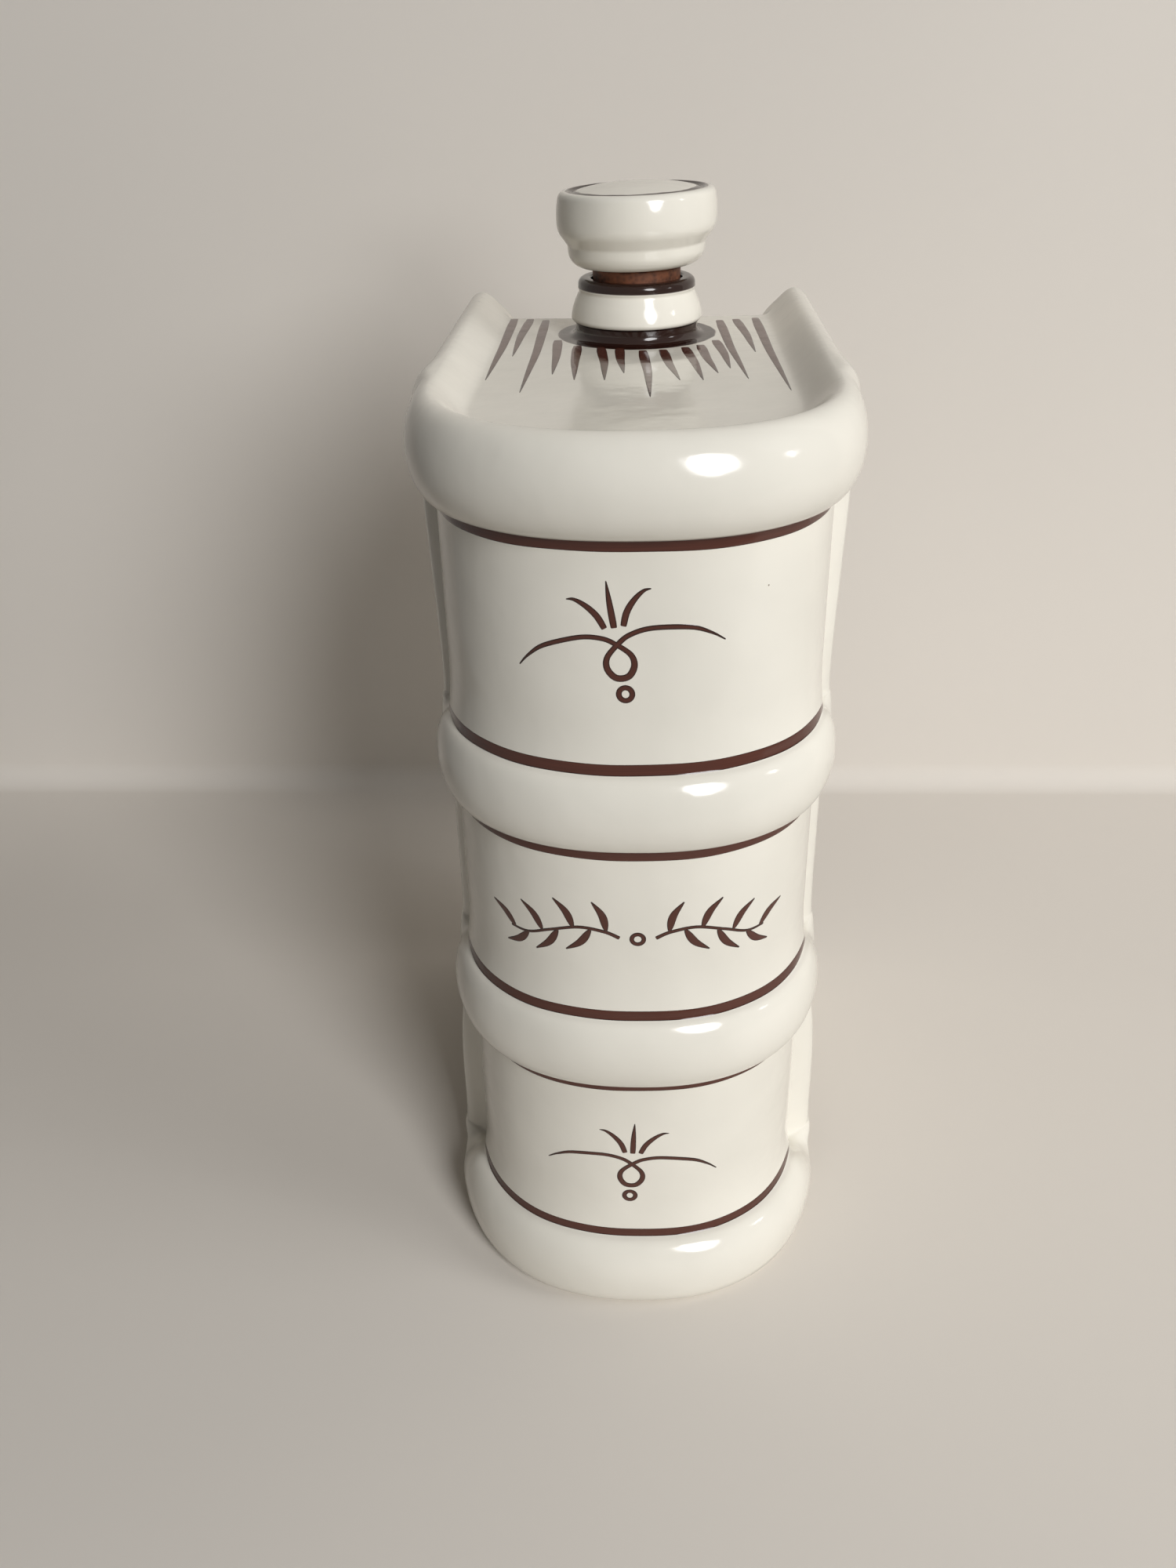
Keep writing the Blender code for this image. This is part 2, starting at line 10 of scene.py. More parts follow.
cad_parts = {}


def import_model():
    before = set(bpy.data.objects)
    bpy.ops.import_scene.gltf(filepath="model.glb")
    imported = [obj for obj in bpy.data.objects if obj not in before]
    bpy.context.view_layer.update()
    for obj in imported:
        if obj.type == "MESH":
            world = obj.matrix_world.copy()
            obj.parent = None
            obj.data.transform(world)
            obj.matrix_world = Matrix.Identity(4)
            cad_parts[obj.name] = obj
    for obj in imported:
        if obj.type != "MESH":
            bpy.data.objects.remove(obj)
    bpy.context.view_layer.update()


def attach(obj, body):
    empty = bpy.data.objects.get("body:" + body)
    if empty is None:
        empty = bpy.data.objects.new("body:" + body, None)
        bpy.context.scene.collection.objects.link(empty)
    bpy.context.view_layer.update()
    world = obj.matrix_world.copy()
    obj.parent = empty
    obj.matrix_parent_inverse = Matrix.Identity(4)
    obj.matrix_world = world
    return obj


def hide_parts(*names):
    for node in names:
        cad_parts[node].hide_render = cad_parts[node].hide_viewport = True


# Lengths are in metres and heights stand over the table, unless a comment says otherwise.
# Plan of the book, measured from the front of the spine's panels, as in the CAD model
FRONT_Y = -0.054275
SPINE_HALF_WIDTH = 0.03305
SPINE_DEPTH = 0.03285
SPINE_EXPONENT = 2.32
BOARD_HALF_WIDTH = 0.0362
BOARD_END_DEPTH = 0.1143
BOARD_EDGE_RADIUS = 0.0030
BOARD_INNER_X = 0.0267
CREST_LINE = 0.0332
PAGE_DEPTH = 0.1065
PAGE_HOLLOW = 0.0007
PAGE_CORNER_RADIUS = 0.00225
PAGE_EDGE_RADIUS = 0.00215
PAGE_TUCK = 0.35
HINGE_WIDTH = 0.0072
HINGE_GROOVE_DEPTH = 0.0011
ROLL_FADE_LENGTH = 0.0126
ROLL_SHARE_ON_BOARD = 0.27

# Rolls: heights, and reaches past the panels; the two between are (bottom, height, reach)
BASE_ROLL_HEIGHT = 0.01675
BASE_ROLL_REACH = 0.00575
LOWER_ROLL = (0.05715, 0.0160, 0.00425)
UPPER_ROLL = (0.10925, 0.01485, 0.0043)
HEAD_ROLL_BOTTOM = 0.16325
HEAD_ROLL_HEIGHT = 0.0160
HEAD_ROLL_REACH = 0.0052
FLARE_REACH = 0.0010
FLARE_HEIGHT = 0.0099
CREASE_FILLET = 0.0007
CREST_HEIGHT = 0.17925
PAGE_HEIGHT = 0.1750
PAGE_DROP = 0.00425
PAGE_SLOPE_WIDTH = 0.0065

# Beside the spine, measured round the outline from its middle: where the rolls' tops start to drop, where the
# rolls start to draw in and where the boards start to spread, with the length over which each comes in
SIDE_DROP_FROM = 0.040
SIDE_DROP_LENGTH = 0.016
DRAW_IN_FROM = 0.026
DRAW_IN_LENGTH = 0.024
SPREAD_FROM = 0.0515
SPREAD_LENGTH = 0.0095
SPREAD_FADE_LENGTH = 0.060
# Each roll there: (bottom, top, drop of its top, share of its reach that is lost)
SIDE_ROLLS = [(0.0030, 0.01675, 0.0080, -0.05), (0.05715, 0.07315, 0.0050, 0.12),
              (0.10925, 0.1241, 0.0045, 0.23), (0.16325, 0.17925, 0.0, 0.19)]
SIDE_DROP_FADE = 0.024
# Spread of the boards below the head roll and above the foot: (most, start and length of its rise,
# start and length of its fall)
UPPER_SPREAD = (0.0011, 0.122, 0.040, 0.1625, 0.006)
LOWER_SPREAD = (0.0031, 0.004, 0.014, 0.028, 0.036)

# How finely surfaces are drawn
SPINE_ROWS = 61
HINGE_ROWS = 14
BOARD_STEPS = 13
CORNER_STEPS = 9
CREST_STEPS = 19
ARC_STEPS = 60
FILLET_STEPS = 8
PROFILE_STEP = 0.00005
PROFILE_ROWS = 200
STRAIGHT_STEP = 0.0012
TOP_CLEARANCE = 0.00025
TOP_RING_RADII = (0.0141, 0.0148, 0.0158, 0.0172, 0.0190)
WELD_DISTANCE = 0.000002
SHARP_ANGLE = radians(50.0)

# Foot and hollow
FOOT_EDGE_RADIUS = 0.0027
FOOT_INSET = 0.0081
FOOT_RECESS = 0.00135
FOOT_RECESS_SLOPE = 0.0012
FOOT_CORNER_RADIUS = 0.0045
WALL = 0.0063
FLOOR_HEIGHT = 0.00785
CEILING_HEIGHT = 0.1688
HOLLOW_CORNER_RADIUS = 0.0054
HOLLOW_EDGE_RADIUS = 0.0036
CEILING_EDGE_RADIUS = 0.0012

# Neck, cork and knob, about an upright axis
NECK_Y = 0.033925
NECK_ROOT_RADIUS = 0.01205
NECK_FILLET = 0.0016
NECK_COLUMNS = 128
BORE_RADIUS = 0.0089
BORE_TAPER = 0.00055
KNOB_LEAN = radians(1.3)

# Painted rings on the glaze: (lowest radius, highest radius, lowest height, highest height)
NECK_ROOT_RING = (0.0, 0.0157, 0.1740, 0.1778)
LIP_RING = (0.0, 0.0140, 0.1840, 0.1900)
KNOB_RING = (0.0114, 0.0136, 0.2005, 0.2030)
RING_WOBBLE = 0.0006

# Enamel lies a little proud of the glaze and its underside a little within it; it thins out over a share of a
# stroke's length at each end
ENAMEL_THICKNESS = 0.00007
ENAMEL_SINK = 0.00003
STROKE_COLUMNS = 11
END_SHARE = 0.025
# Kept at every point of a stroke, for its material
STROKE_VALUES = ("along_stroke", "across_stroke", "edge_distance", "end_distance")
# Bands round the spine: (crease, whether above it, width, half length)
BAND_GAP = 0.0001
BANDS = [(0.16325, False, 0.0020, 0.0470), (0.1241, True, 0.0022, 0.0470), (0.10925, False, 0.0023, 0.0470),
         (0.07315, True, 0.0022, 0.0470), (0.05715, False, 0.0021, 0.0470), (0.01675, True, 0.0020, 0.0492)]
# Brush strokes on the pages, in millimetres: (root x, root y, tip x, tip y, bow)
PAGE_STROKES = [(-25.9, 51.6, -26.2, -5.5, 0.3), (-22.4, 50.1, -23.1, 13.4, -0.3),
                (-19.1, 49.0, -19.4, -14.8, 0.4), (-15.4, 28.3, -14.7, -1.5, 0.2),
                (-11.3, 23.0, -10.6, -5.8, -0.2), (-6.8, 21.3, -5.3, -6.1, 0.3), (-3.2, 20.3, -2.0, -1.0, -0.2),
                (1.2, 18.0, 2.6, -18.5, 0.3), (5.0, 18.4, 7.8, -6.8, -0.3), (9.2, 20.3, 11.8, -7.0, 0.2),
                (12.2, 22.2, 14.6, -1.9, -0.3), (15.3, 26.3, 16.9, 1.6, 0.3), (17.0, 46.3, 19.6, -6.8, -0.4),
                (20.4, 47.0, 22.3, 14.7, 0.3), (24.5, 48.3, 26.1, -15.4, -0.3)]
STROKE_HALF_WIDTH = 0.00106
STROKE_POINT_WIDTH = 0.00008
STROKE_POINTS = 70
# The spray: the right branch's stem, and its leaves as (root x, root y, tip x, tip y, bow), in millimetres
# before its scale
STEM = [(2.3, 0.1), (4.5, 1.1), (8.0, 1.5), (12.0, 0.3), (15.5, -1.1), (18.6, -1.1)]
LEAVES = [(4.2, 1.1, 6.2, 5.9, 0.5), (8.7, 1.2, 11.6, 5.7, 0.5), (13.2, -0.2, 16.6, 3.9, 0.5),
          (6.3, 1.4, 9.9, -2.5, -0.5), (10.9, 0.6, 14.4, -3.6, -0.5), (15.4, -1.1, 19.4, -4.0, -0.5),
          (17.6, -1.2, 21.9, 1.8, 0.5)]
SPRAY_CENTRE = (0.0006, 0.0908)
SPRAY_SCALE = 1.3
STEM_POINTS = 120
LEAF_POINTS = 44
# Flourishes on the upper and the lower panel: (name, (way round, height), turn in degrees, size)
FLOURISHES = [("upper_flourish", (-0.0025, 0.1468), 8.6, 1.0),
              ("lower_flourish", (-0.0006, 0.0362), -3.1, 1.03)]
# A flourish's arms and drop in one line, its blades from tip to foot, and its ring's half height and middle,
# in millimetres
ARMS = [(-16.9, -2.9), (-14.6, -0.9), (-11.4, 0.8), (-5.8, 1.75), (-2.2, 1.2), (0.0, -0.2), (1.85, -2.1),
        (2.1, -4.0), (0.95, -5.65), (-0.95, -5.65), (-2.1, -4.0), (-1.85, -2.1), (0.0, -0.2), (2.2, 1.2),
        (5.8, 1.75), (11.4, 0.8), (14.6, -0.9), (16.9, -2.9)]
SIDE_BLADE = [(6.6, 8.1), (5.3, 7.9), (3.7, 6.7), (2.3, 4.9), (1.4, 2.6)]
MIDDLE_BLADE = [(0.0, 10.4), (-0.05, 7.0), (0.0, 2.5)]
FLOURISH_RING = (1.12, -8.6)
SPRAY_RING = (1.05, 0.0)
RING_HALF_WIDTH = 1.05
RING_POINTS = 56
# Half widths of the lines: an arm's at its tip, what it gains soon after and what it gains towards the middle
ARM_HALF_WIDTHS = (0.00016, 0.00033, 0.00016)
ARM_POINTS = 260
CROSSING_RISE = 0.000012
BLADE_HALF_WIDTH = 0.00063
BLADE_TIP = 0.16
BLADE_POINTS = 60
FLOURISH_RING_LINE = 0.00054
SPRAY_RING_LINE = 0.00048

# Stage, camera and light
STAGE_SIDES = (-0.30, 0.60)
STAGE_FRONT = -0.26
STAGE_TOP = 0.75
WALL_Y = 0.155
CORNER_RADIUS = 0.008
CAMERA_PLACE = (0.0019, -0.2348, 0.2279)
CAMERA_PITCH = radians(30.335)
CAMERA_YAW = radians(-2.949)
CAMERA_ROLL = radians(-1.402)
FOCAL_PIXELS = 1649.0
FRAME_PIXELS = 1500.0
SENSOR_WIDTH = 36.0
# Lamps: (name, place, width and height, power, whether the glaze shows it)
LAMPS = [("key", (0.62, -1.16, 0.77), (0.54, 0.95), 17.0, True),
         ("side", (1.00, -0.32, 0.91), (0.60, 0.60), 3.8, False),
         ("glint", (1.20, -0.42, 0.60), (0.14, 0.20), 0.70, True)]
LAMP_TARGET = (0.0, 0.0, 0.09)
WORLD_LIGHT = 0.02
WORLD_SEEN = 0.85
WORLD_REFLECTED = 0.45


def smooth_step(share):
    """Runs from 0 to 1 with level ends: 3s^2 - 2s^3."""
    share = np.clip(share, 0.0, 1.0)
    return share * share * (3.0 - 2.0 * share)


def rise_and_fall(height, most, rise_from, rise, fall_from, fall):
    """A value that comes in smoothly to its most above one height and goes out again above another."""
    return most * smooth_step((height - rise_from) / rise) * (1.0 - smooth_step((height - fall_from) / fall))


# ---------------------------------------------------------------- meshes

def grid_faces(rows, columns, wrap=False):
    """Quads between neighbouring rows and columns of a grid of points, numbered row by row."""
    index = np.arange(rows * columns).reshape(rows, columns)
    if wrap:
        index = np.column_stack([index, index[:, 0]])
    corners = index[:-1, :-1], index[:-1, 1:], index[1:, 1:], index[1:, :-1]
    return np.stack(corners, axis=-1).reshape(-1, 4)


def closed_mesh(name, patches, material, attributes=()):
    """Joins patches of (points, faces) that share their border points into one closed, smooth, outward mesh."""
    points, faces = [], []
    for patch_points, patch_faces in patches:
        faces += (patch_faces + len(points)).tolist()
        points += patch_points.tolist()
    mesh = bpy.data.meshes.new(name)
    mesh.from_pydata(points, [], faces)
    for label, values in attributes:
        mesh.attributes.new(label, "FLOAT", "POINT").data.foreach_set("value", values.astype(np.float32))
    work = bmesh.new()
    work.from_mesh(mesh)
    bmesh.ops.remove_doubles(work, verts=work.verts, dist=WELD_DISTANCE)
    bmesh.ops.dissolve_degenerate(work, edges=work.edges, dist=WELD_DISTANCE / 2)
    bmesh.ops.recalc_face_normals(work, faces=work.faces)
    work.to_mesh(mesh)
    work.free()
    mesh.shade_smooth()
    mesh.set_sharp_from_angle(angle=SHARP_ANGLE)
    mesh.materials.append(material)
    made = bpy.data.objects.new(name, mesh)
    bpy.context.scene.collection.objects.link(made)
    return made


def inside_loop(points, loop):
    """True for each point inside a closed loop: a ray to the right crosses its sides an odd number of times."""
    x, y = points[:, 0, None], points[:, 1, None]
    ax, ay = loop[:, 0], loop[:, 1]
    bx, by = np.roll(ax, -1), np.roll(ay, -1)
    spans = (ay > y) != (by > y)
    rise = np.where(by == ay, 1.0, by - ay)
    return (np.sum(spans & (x < ax + (y - ay) * (bx - ax) / rise), axis=1) % 2).astype(bool)


def fill_between(outer, holes, inner=None, clearance=0.0):
    """Triangles over the plan between an outer loop and its holes, through inner points that keep clear of
    both."""
    loops = [outer] + holes
    border = np.concatenate(loops)
    edges, start = [], 0
    for loop in loops:
        edges += [(start + i, start + (i + 1) % len(loop)) for i in range(len(loop))]
        start += len(loop)
    points = border
    if inner is not None:
        keep = inside_loop(inner, outer[:, :2])
        for hole in holes:
            keep &= ~inside_loop(inner, hole[:, :2])
        inner = inner[keep]
        gaps = inner[:, None, :2] - border[None, :, :2]
        inner = inner[np.min(np.sum(gaps ** 2, axis=2), axis=1) > clearance ** 2]
        points = np.concatenate([border, inner])
    flat = [Vector(point) for point in (points[:, :2] * 1000.0).tolist()]
    _, _, triangles, sources, _, _ = delaunay_2d_cdt(flat, edges, [], 0, 0.0000001)
    made = points[[source[0] for source in sources]]
    triangles = np.array(triangles)
    middles = made[triangles].mean(axis=1)
    keep = inside_loop(middles, outer[:, :2])
    for hole in holes:
        keep &= ~inside_loop(middles, hole[:, :2])
    return made, triangles[keep]


def filleted(corners):
    """A profile through corners of (radius, height, rounding), each replaced by an arc of that rounding."""
    points = [corners[0][:2]]
    for before, corner, after in zip(corners[:-2], corners[1:-1], corners[2:]):
        middle = np.array(corner[:2])
        back = np.array(before[:2]) - middle
        on = np.array(after[:2]) - middle
        back /= np.hypot(*back)
        on /= np.hypot(*on)
        half = np.arccos(np.clip(back @ on, -1.0, 1.0)) / 2
        centre = middle + (back + on) / np.hypot(*(back + on)) * corner[2] / np.sin(half)
        reach = corner[2] / np.tan(half)
        first, last = middle + back * reach - centre, middle + on * reach - centre
        for share in np.linspace(0.0, 1.0, FILLET_STEPS):
            between = first * (1.0 - share) + last * share
            points.append(centre + between / np.hypot(*between) * corner[2])
    points.append(corners[-1][:2])
    return np.array(points, float)


def turned(profile):
    """Points and quads of a profile of radius r and height z about the neck's axis: (r cos t, r sin t, z)."""
    turn = np.linspace(0.0, 2 * pi, NECK_COLUMNS, endpoint=False)
    x = profile[:, :1] * np.cos(turn)
    y = profile[:, :1] * np.sin(turn) + NECK_Y
    z = np.broadcast_to(profile[:, 1:], x.shape)
    points = np.stack([x, y, z], axis=-1).reshape(-1, 3)
    return points, grid_faces(len(profile), NECK_COLUMNS, wrap=True)


def ring(radius, height):
    """One circle of points about the neck's axis."""
    return turned(np.array([(radius, height)]))[0]


# ---------------------------------------------------------------- the book's outline and profile

def strip(x, y, away_x, away_y, reach=0.0, groove=0.0, tuck=1.0, edge=BOARD_EDGE_RADIUS):
    """Rows of the outline: x, y, direction out, share of the rolls' reach, depth of the hinge's groove, share
    of the foot's rounding and radius of the top edge."""
    return np.column_stack(np.broadcast_arrays(x, y, away_x, away_y, reach, groove, tuck, edge)).astype(float)


def half_outline():
    """The right half of the plan: a superellipse for the spine, (w sin^p t, d (1 - cos^p t)), the hinge, the
    board with its rounded end, the board's inside and the pages' fore-edge, back to the middle.

    Three more columns say how far each row lies beside the spine: for the drop of the rolls' tops, for the
    rolls' drawing in and for the boards' spread."""
    turn = np.linspace(0.0, pi / 2, SPINE_ROWS)
    power = 2.0 / SPINE_EXPONENT
    x = SPINE_HALF_WIDTH * np.sin(turn) ** power
    y = SPINE_DEPTH * (1.0 - np.maximum(np.cos(turn), 0.0) ** power)
    slope_x = np.sin(turn) ** (2.0 - power) / SPINE_HALF_WIDTH
    slope_y = -np.maximum(np.cos(turn), 0.0) ** (2.0 - power) / SPINE_DEPTH
    size = np.hypot(slope_x, slope_y)
    spine = strip(x, y, slope_x / size, slope_y / size, reach=1.0)

    share = np.linspace(0.0, 1.0, HINGE_ROWS + 1)[1:]
    x = SPINE_HALF_WIDTH + (BOARD_HALF_WIDTH - SPINE_HALF_WIDTH) * smooth_step(share)
    reach = 1.0 - (1.0 - ROLL_SHARE_ON_BOARD) * smooth_step(share)
    groove = HINGE_GROOVE_DEPTH * np.sin(pi * np.sqrt(share)) ** 2
    hinge = strip(x, SPINE_DEPTH + HINGE_WIDTH * share, 1.0, 0.0, reach, groove)

    share = np.linspace(0.0, 1.0, BOARD_STEPS)[1:]
    y = SPINE_DEPTH + HINGE_WIDTH + ROLL_FADE_LENGTH * share
    fade = strip(BOARD_HALF_WIDTH, y, 1.0, 0.0, ROLL_SHARE_ON_BOARD * (1.0 - smooth_step(share)))

    tail = BOARD_END_DEPTH - BOARD_EDGE_RADIUS
    y = np.linspace(SPINE_DEPTH + HINGE_WIDTH + ROLL_FADE_LENGTH, tail, BOARD_STEPS)[1:]
    board = strip(BOARD_HALF_WIDTH, y, 1.0, 0.0)

    turn = np.linspace(0.0, pi / 2, CORNER_STEPS)[1:]
    x, y = CREST_LINE + BOARD_EDGE_RADIUS * np.cos(turn), tail + BOARD_EDGE_RADIUS * np.sin(turn)
    outer_corner = strip(x, y, np.cos(turn), np.sin(turn))

    x = np.linspace(CREST_LINE, BOARD_INNER_X + BOARD_EDGE_RADIUS, 8)[1:]
    end = strip(x, BOARD_END_DEPTH, 0.0, 1.0)

    turn = np.linspace(pi / 2, pi, CORNER_STEPS)[1:]
    ease = smooth_step(turn / (pi / 2) - 1.0)
    x = BOARD_INNER_X + BOARD_EDGE_RADIUS + BOARD_EDGE_RADIUS * np.cos(turn)
    y = tail + BOARD_EDGE_RADIUS * np.sin(turn)
    edge = BOARD_EDGE_RADIUS + (PAGE_EDGE_RADIUS - BOARD_EDGE_RADIUS) * ease
    tuck = 1.0 - (1.0 - PAGE_TUCK) * ease
    inner_corner = strip(x, y, np.cos(turn), np.sin(turn), tuck=tuck, edge=edge)

    y = np.linspace(tail, PAGE_DEPTH + PAGE_CORNER_RADIUS, 4)[1:]
    inner = strip(BOARD_INNER_X, y, -1.0, 0.0, tuck=PAGE_TUCK, edge=PAGE_EDGE_RADIUS)

    turn = np.linspace(0.0, pi / 2, CORNER_STEPS)[1:]
    x = BOARD_INNER_X - PAGE_CORNER_RADIUS * (1.0 - np.cos(turn))
    y = PAGE_DEPTH + PAGE_CORNER_RADIUS * (1.0 - np.sin(turn))
    corner = strip(x, y, -np.cos(turn), np.sin(turn), tuck=PAGE_TUCK, edge=PAGE_EDGE_RADIUS)

    share = np.linspace(1.0, 0.0, BOARD_STEPS)[1:]
    x = (BOARD_INNER_X - PAGE_CORNER_RADIUS) * share
    y = PAGE_DEPTH - PAGE_HOLLOW * (1.0 - share ** 2)
    fore_edge = strip(x, y, 0.0, 1.0, tuck=PAGE_TUCK, edge=PAGE_EDGE_RADIUS)
    rows = np.concatenate([spine, hinge, fade, board, outer_corner, end, inner_corner, inner, corner,
                           fore_edge])

    walked = np.concatenate([[0.0], np.cumsum(np.hypot(*np.diff(rows[:, :2], axis=0).T))])
    beside = smooth_step((walked - SIDE_DROP_FROM) / SIDE_DROP_LENGTH)
    drawn_in = smooth_step((walked - DRAW_IN_FROM) / DRAW_IN_LENGTH)
    spread = smooth_step((walked - SPREAD_FROM) / SPREAD_LENGTH)
    spread *= 1.0 - smooth_step((rows[:, 1] - SPINE_DEPTH - HINGE_WIDTH) / SPREAD_FADE_LENGTH)
    return np.column_stack([rows, beside, drawn_in, spread])


def whole_outline(half):
    """The closed outline: the right half, then its mirror image back to the front."""
    left = half[-2:0:-1].copy()
    left[:, [0, 2]] *= -1.0
    return np.concatenate([half, left])


def side_profile():
    """Height, reach, groove filling and foot tuck from the table to the head roll's widest line, with what
    changes beside the spine: how far the height drops, the share of the reach lost and the boards' spread.

    Each roll is half an ellipse, each panel flares as the square of the way down to the roll below it, and
    the whole line is then averaged over a short length, which fills its creases as glaze does."""
    turn = np.linspace(0.0, pi / 2, ARC_STEPS)
    down = turn[::-1]
    share = np.linspace(0.0, 1.0, ARC_STEPS)

    def rows_of(z, out, fill=1.0, tuck=0.0):
        return np.column_stack(np.broadcast_arrays(z, out, fill, tuck))

    half = BASE_ROLL_HEIGHT / 2
    rows = [rows_of(half * (1.0 - np.sin(down)), BASE_ROLL_REACH, tuck=FOOT_EDGE_RADIUS * (1.0 - np.cos(down))),
            rows_of(half * (1.0 + np.sin(turn)), FLARE_REACH + (BASE_ROLL_REACH - FLARE_REACH) * np.cos(turn))]
    level = BASE_ROLL_HEIGHT
    head_roll = HEAD_ROLL_BOTTOM, HEAD_ROLL_HEIGHT, HEAD_ROLL_REACH
    for bottom, height, reach in (LOWER_ROLL, UPPER_ROLL, head_roll):
        rows.append(rows_of(level + FLARE_HEIGHT * share, FLARE_REACH * (1.0 - share) ** 2, fill=0.0))
        rows.append(rows_of([bottom], 0.0, fill=0.0))
        rows.append(rows_of(bottom + height / 2 * (1.0 - np.sin(down)), reach * np.cos(down)))
        if bottom != HEAD_ROLL_BOTTOM:
            out = FLARE_REACH + (reach - FLARE_REACH) * np.cos(turn)
            rows.append(rows_of(bottom + height / 2 * (1.0 + np.sin(turn)), out))
        level = bottom + height
    line = np.concatenate(rows)
    walked = np.concatenate([[0.0], np.cumsum(np.hypot(np.diff(line[:, 0]), np.diff(line[:, 1])))])
    even = np.arange(0.0, walked[-1], PROFILE_STEP)
    line = np.column_stack([np.interp(even, walked, column) for column in line.T])
    reach = int(CREASE_FILLET / PROFILE_STEP)
    kernel = np.hanning(2 * reach + 3)[1:-1]
    kernel /= kernel.sum()
    padded = np.concatenate([2 * line[0] - line[reach:0:-1], line, 2 * line[-1] - line[-2:-reach - 2:-1]])
    line = np.column_stack([np.convolve(column, kernel, "valid") for column in padded.T])

    z = line[:, 0]
    drop = sum(rise_and_fall(z, by, low, top - low, top, SIDE_DROP_FADE) for low, top, by, _ in SIDE_ROLLS)
    lost = np.interp(z, [(low + top) / 2 for low, top, _, _ in SIDE_ROLLS], [less for *_, less in SIDE_ROLLS])
    spread = rise_and_fall(z, *UPPER_SPREAD) + rise_and_fall(z, *LOWER_SPREAD)
    return np.column_stack([line, drop, lost, spread])


def chosen_rows(line):
    """Picks rows of the dense profile so that each turns and climbs by about as much as the next: 7 degrees
    of turning count as 2 mm of the way."""
    step = np.diff(line[:, :2], axis=0)
    heading = np.unwrap(np.arctan2(step[:, 1], step[:, 0]))
    bend = np.abs(np.diff(heading, prepend=heading[0]))
    effort = np.concatenate([[0.0], np.cumsum(np.hypot(*step.T) / 0.0020 + bend / radians(7.0))])
    index = np.searchsorted(effort, np.linspace(0.0, effort[-1], PROFILE_ROWS))
    return line[np.unique(np.clip(index, 0, len(line) - 1))]


def slope_level(inset):
    """Height of the top at an inset from the crest's line: the crest, the slope inside it and the pages."""
    return PAGE_HEIGHT + PAGE_DROP * smooth_step(1.0 - inset / PAGE_SLOPE_WIDTH)


def outer_grid(profile):
    """The outside of the book, row by row: outline point + direction out x (reach x roll - groove - tuck +
    spread), and from the head roll's widest line a quarter of an ellipse in over the top edge."""
    outline = whole_outline(half_outline())
    x, y, away_x, away_y, reach, groove, tuck, edge, beside, drawn_in, spreads = outline.T
    y = y + FRONT_Y
    shoulder_drop = reach * HEAD_ROLL_HEIGHT / 2 + (1.0 - reach) * edge
    level = np.where(reach == 1.0, CREST_HEIGHT, slope_level(CREST_LINE - np.abs(x)))
    z, out, fill, tucked, drop, lost, spread = (column[:, None] for column in profile.T)
    equator = HEAD_ROLL_BOTTOM + HEAD_ROLL_HEIGHT / 2
    stretch = (level - shoulder_drop - HEAD_ROLL_BOTTOM) / (equator - HEAD_ROLL_BOTTOM)
    stretched = HEAD_ROLL_BOTTOM + (z - HEAD_ROLL_BOTTOM) * stretch
    heights = np.where(z > HEAD_ROLL_BOTTOM, stretched, z - drop * beside)
    shift = reach * out * (1.0 - lost * drawn_in) - groove * (1.0 - fill) - tuck * tucked + spread * spreads
    sides = np.stack([x + away_x * shift, y + away_y * shift, heights], axis=-1)

    turn = np.linspace(0.0, pi / 2, CREST_STEPS)[1:, None]
    swell = reach * HEAD_ROLL_REACH * (1.0 - profile[-1, 5] * drawn_in)
    shift = swell * np.cos(turn) - (1.0 - reach) * edge * (1.0 - np.cos(turn))
    top_x, top_y = x + away_x * shift, y + away_y * shift
    level = np.where(reach == 1.0, CREST_HEIGHT, slope_level(CREST_LINE - np.abs(top_x)))
    crest = np.stack([top_x, top_y, level - shoulder_drop * (1.0 - np.sin(turn))], axis=-1)
    return np.concatenate([sides, crest])


def family_line(inset, half_width, depth, columns):
    """Right half of a line a given inset inside the spine and the boards: superellipse, then straight."""
    power = 2.0 / SPINE_EXPONENT
    turn = np.linspace(0.0, pi / 2, columns + 1)
    x = half_width * np.sin(turn) ** power
    y = inset + (SPINE_DEPTH - inset) * (1.0 - np.maximum(np.cos(turn), 0.0) ** power)
    straight = np.arange(SPINE_DEPTH + STRAIGHT_STEP, depth, STRAIGHT_STEP)
    return np.concatenate([x, np.full(len(straight), half_width)]), np.concatenate([y, straight])


def top_points():
    """Points over the slope and the pages, in lines that follow the crest and in rings round the neck."""
    beyond = 0.001 * np.array([0.5, 1.2, 2.4, 4.0, 6.0, 8.5, 11.5, 15.0, 19.0, 23.0])
    insets = np.concatenate([np.linspace(0.0, PAGE_SLOPE_WIDTH, 20)[1:], PAGE_SLOPE_WIDTH + beyond])
    lines = []
    for inset in insets:
        x, y = family_line(inset, CREST_LINE - inset, BOARD_END_DEPTH, 48)
        lines.append(np.column_stack([x, y + FRONT_Y, np.full(len(x), slope_level(inset))]))
        lines.append(lines[-1][1:] * np.array([-1.0, 1.0, 1.0]))
    return np.concatenate(lines + [ring(radius, PAGE_HEIGHT) for radius in TOP_RING_RADII])


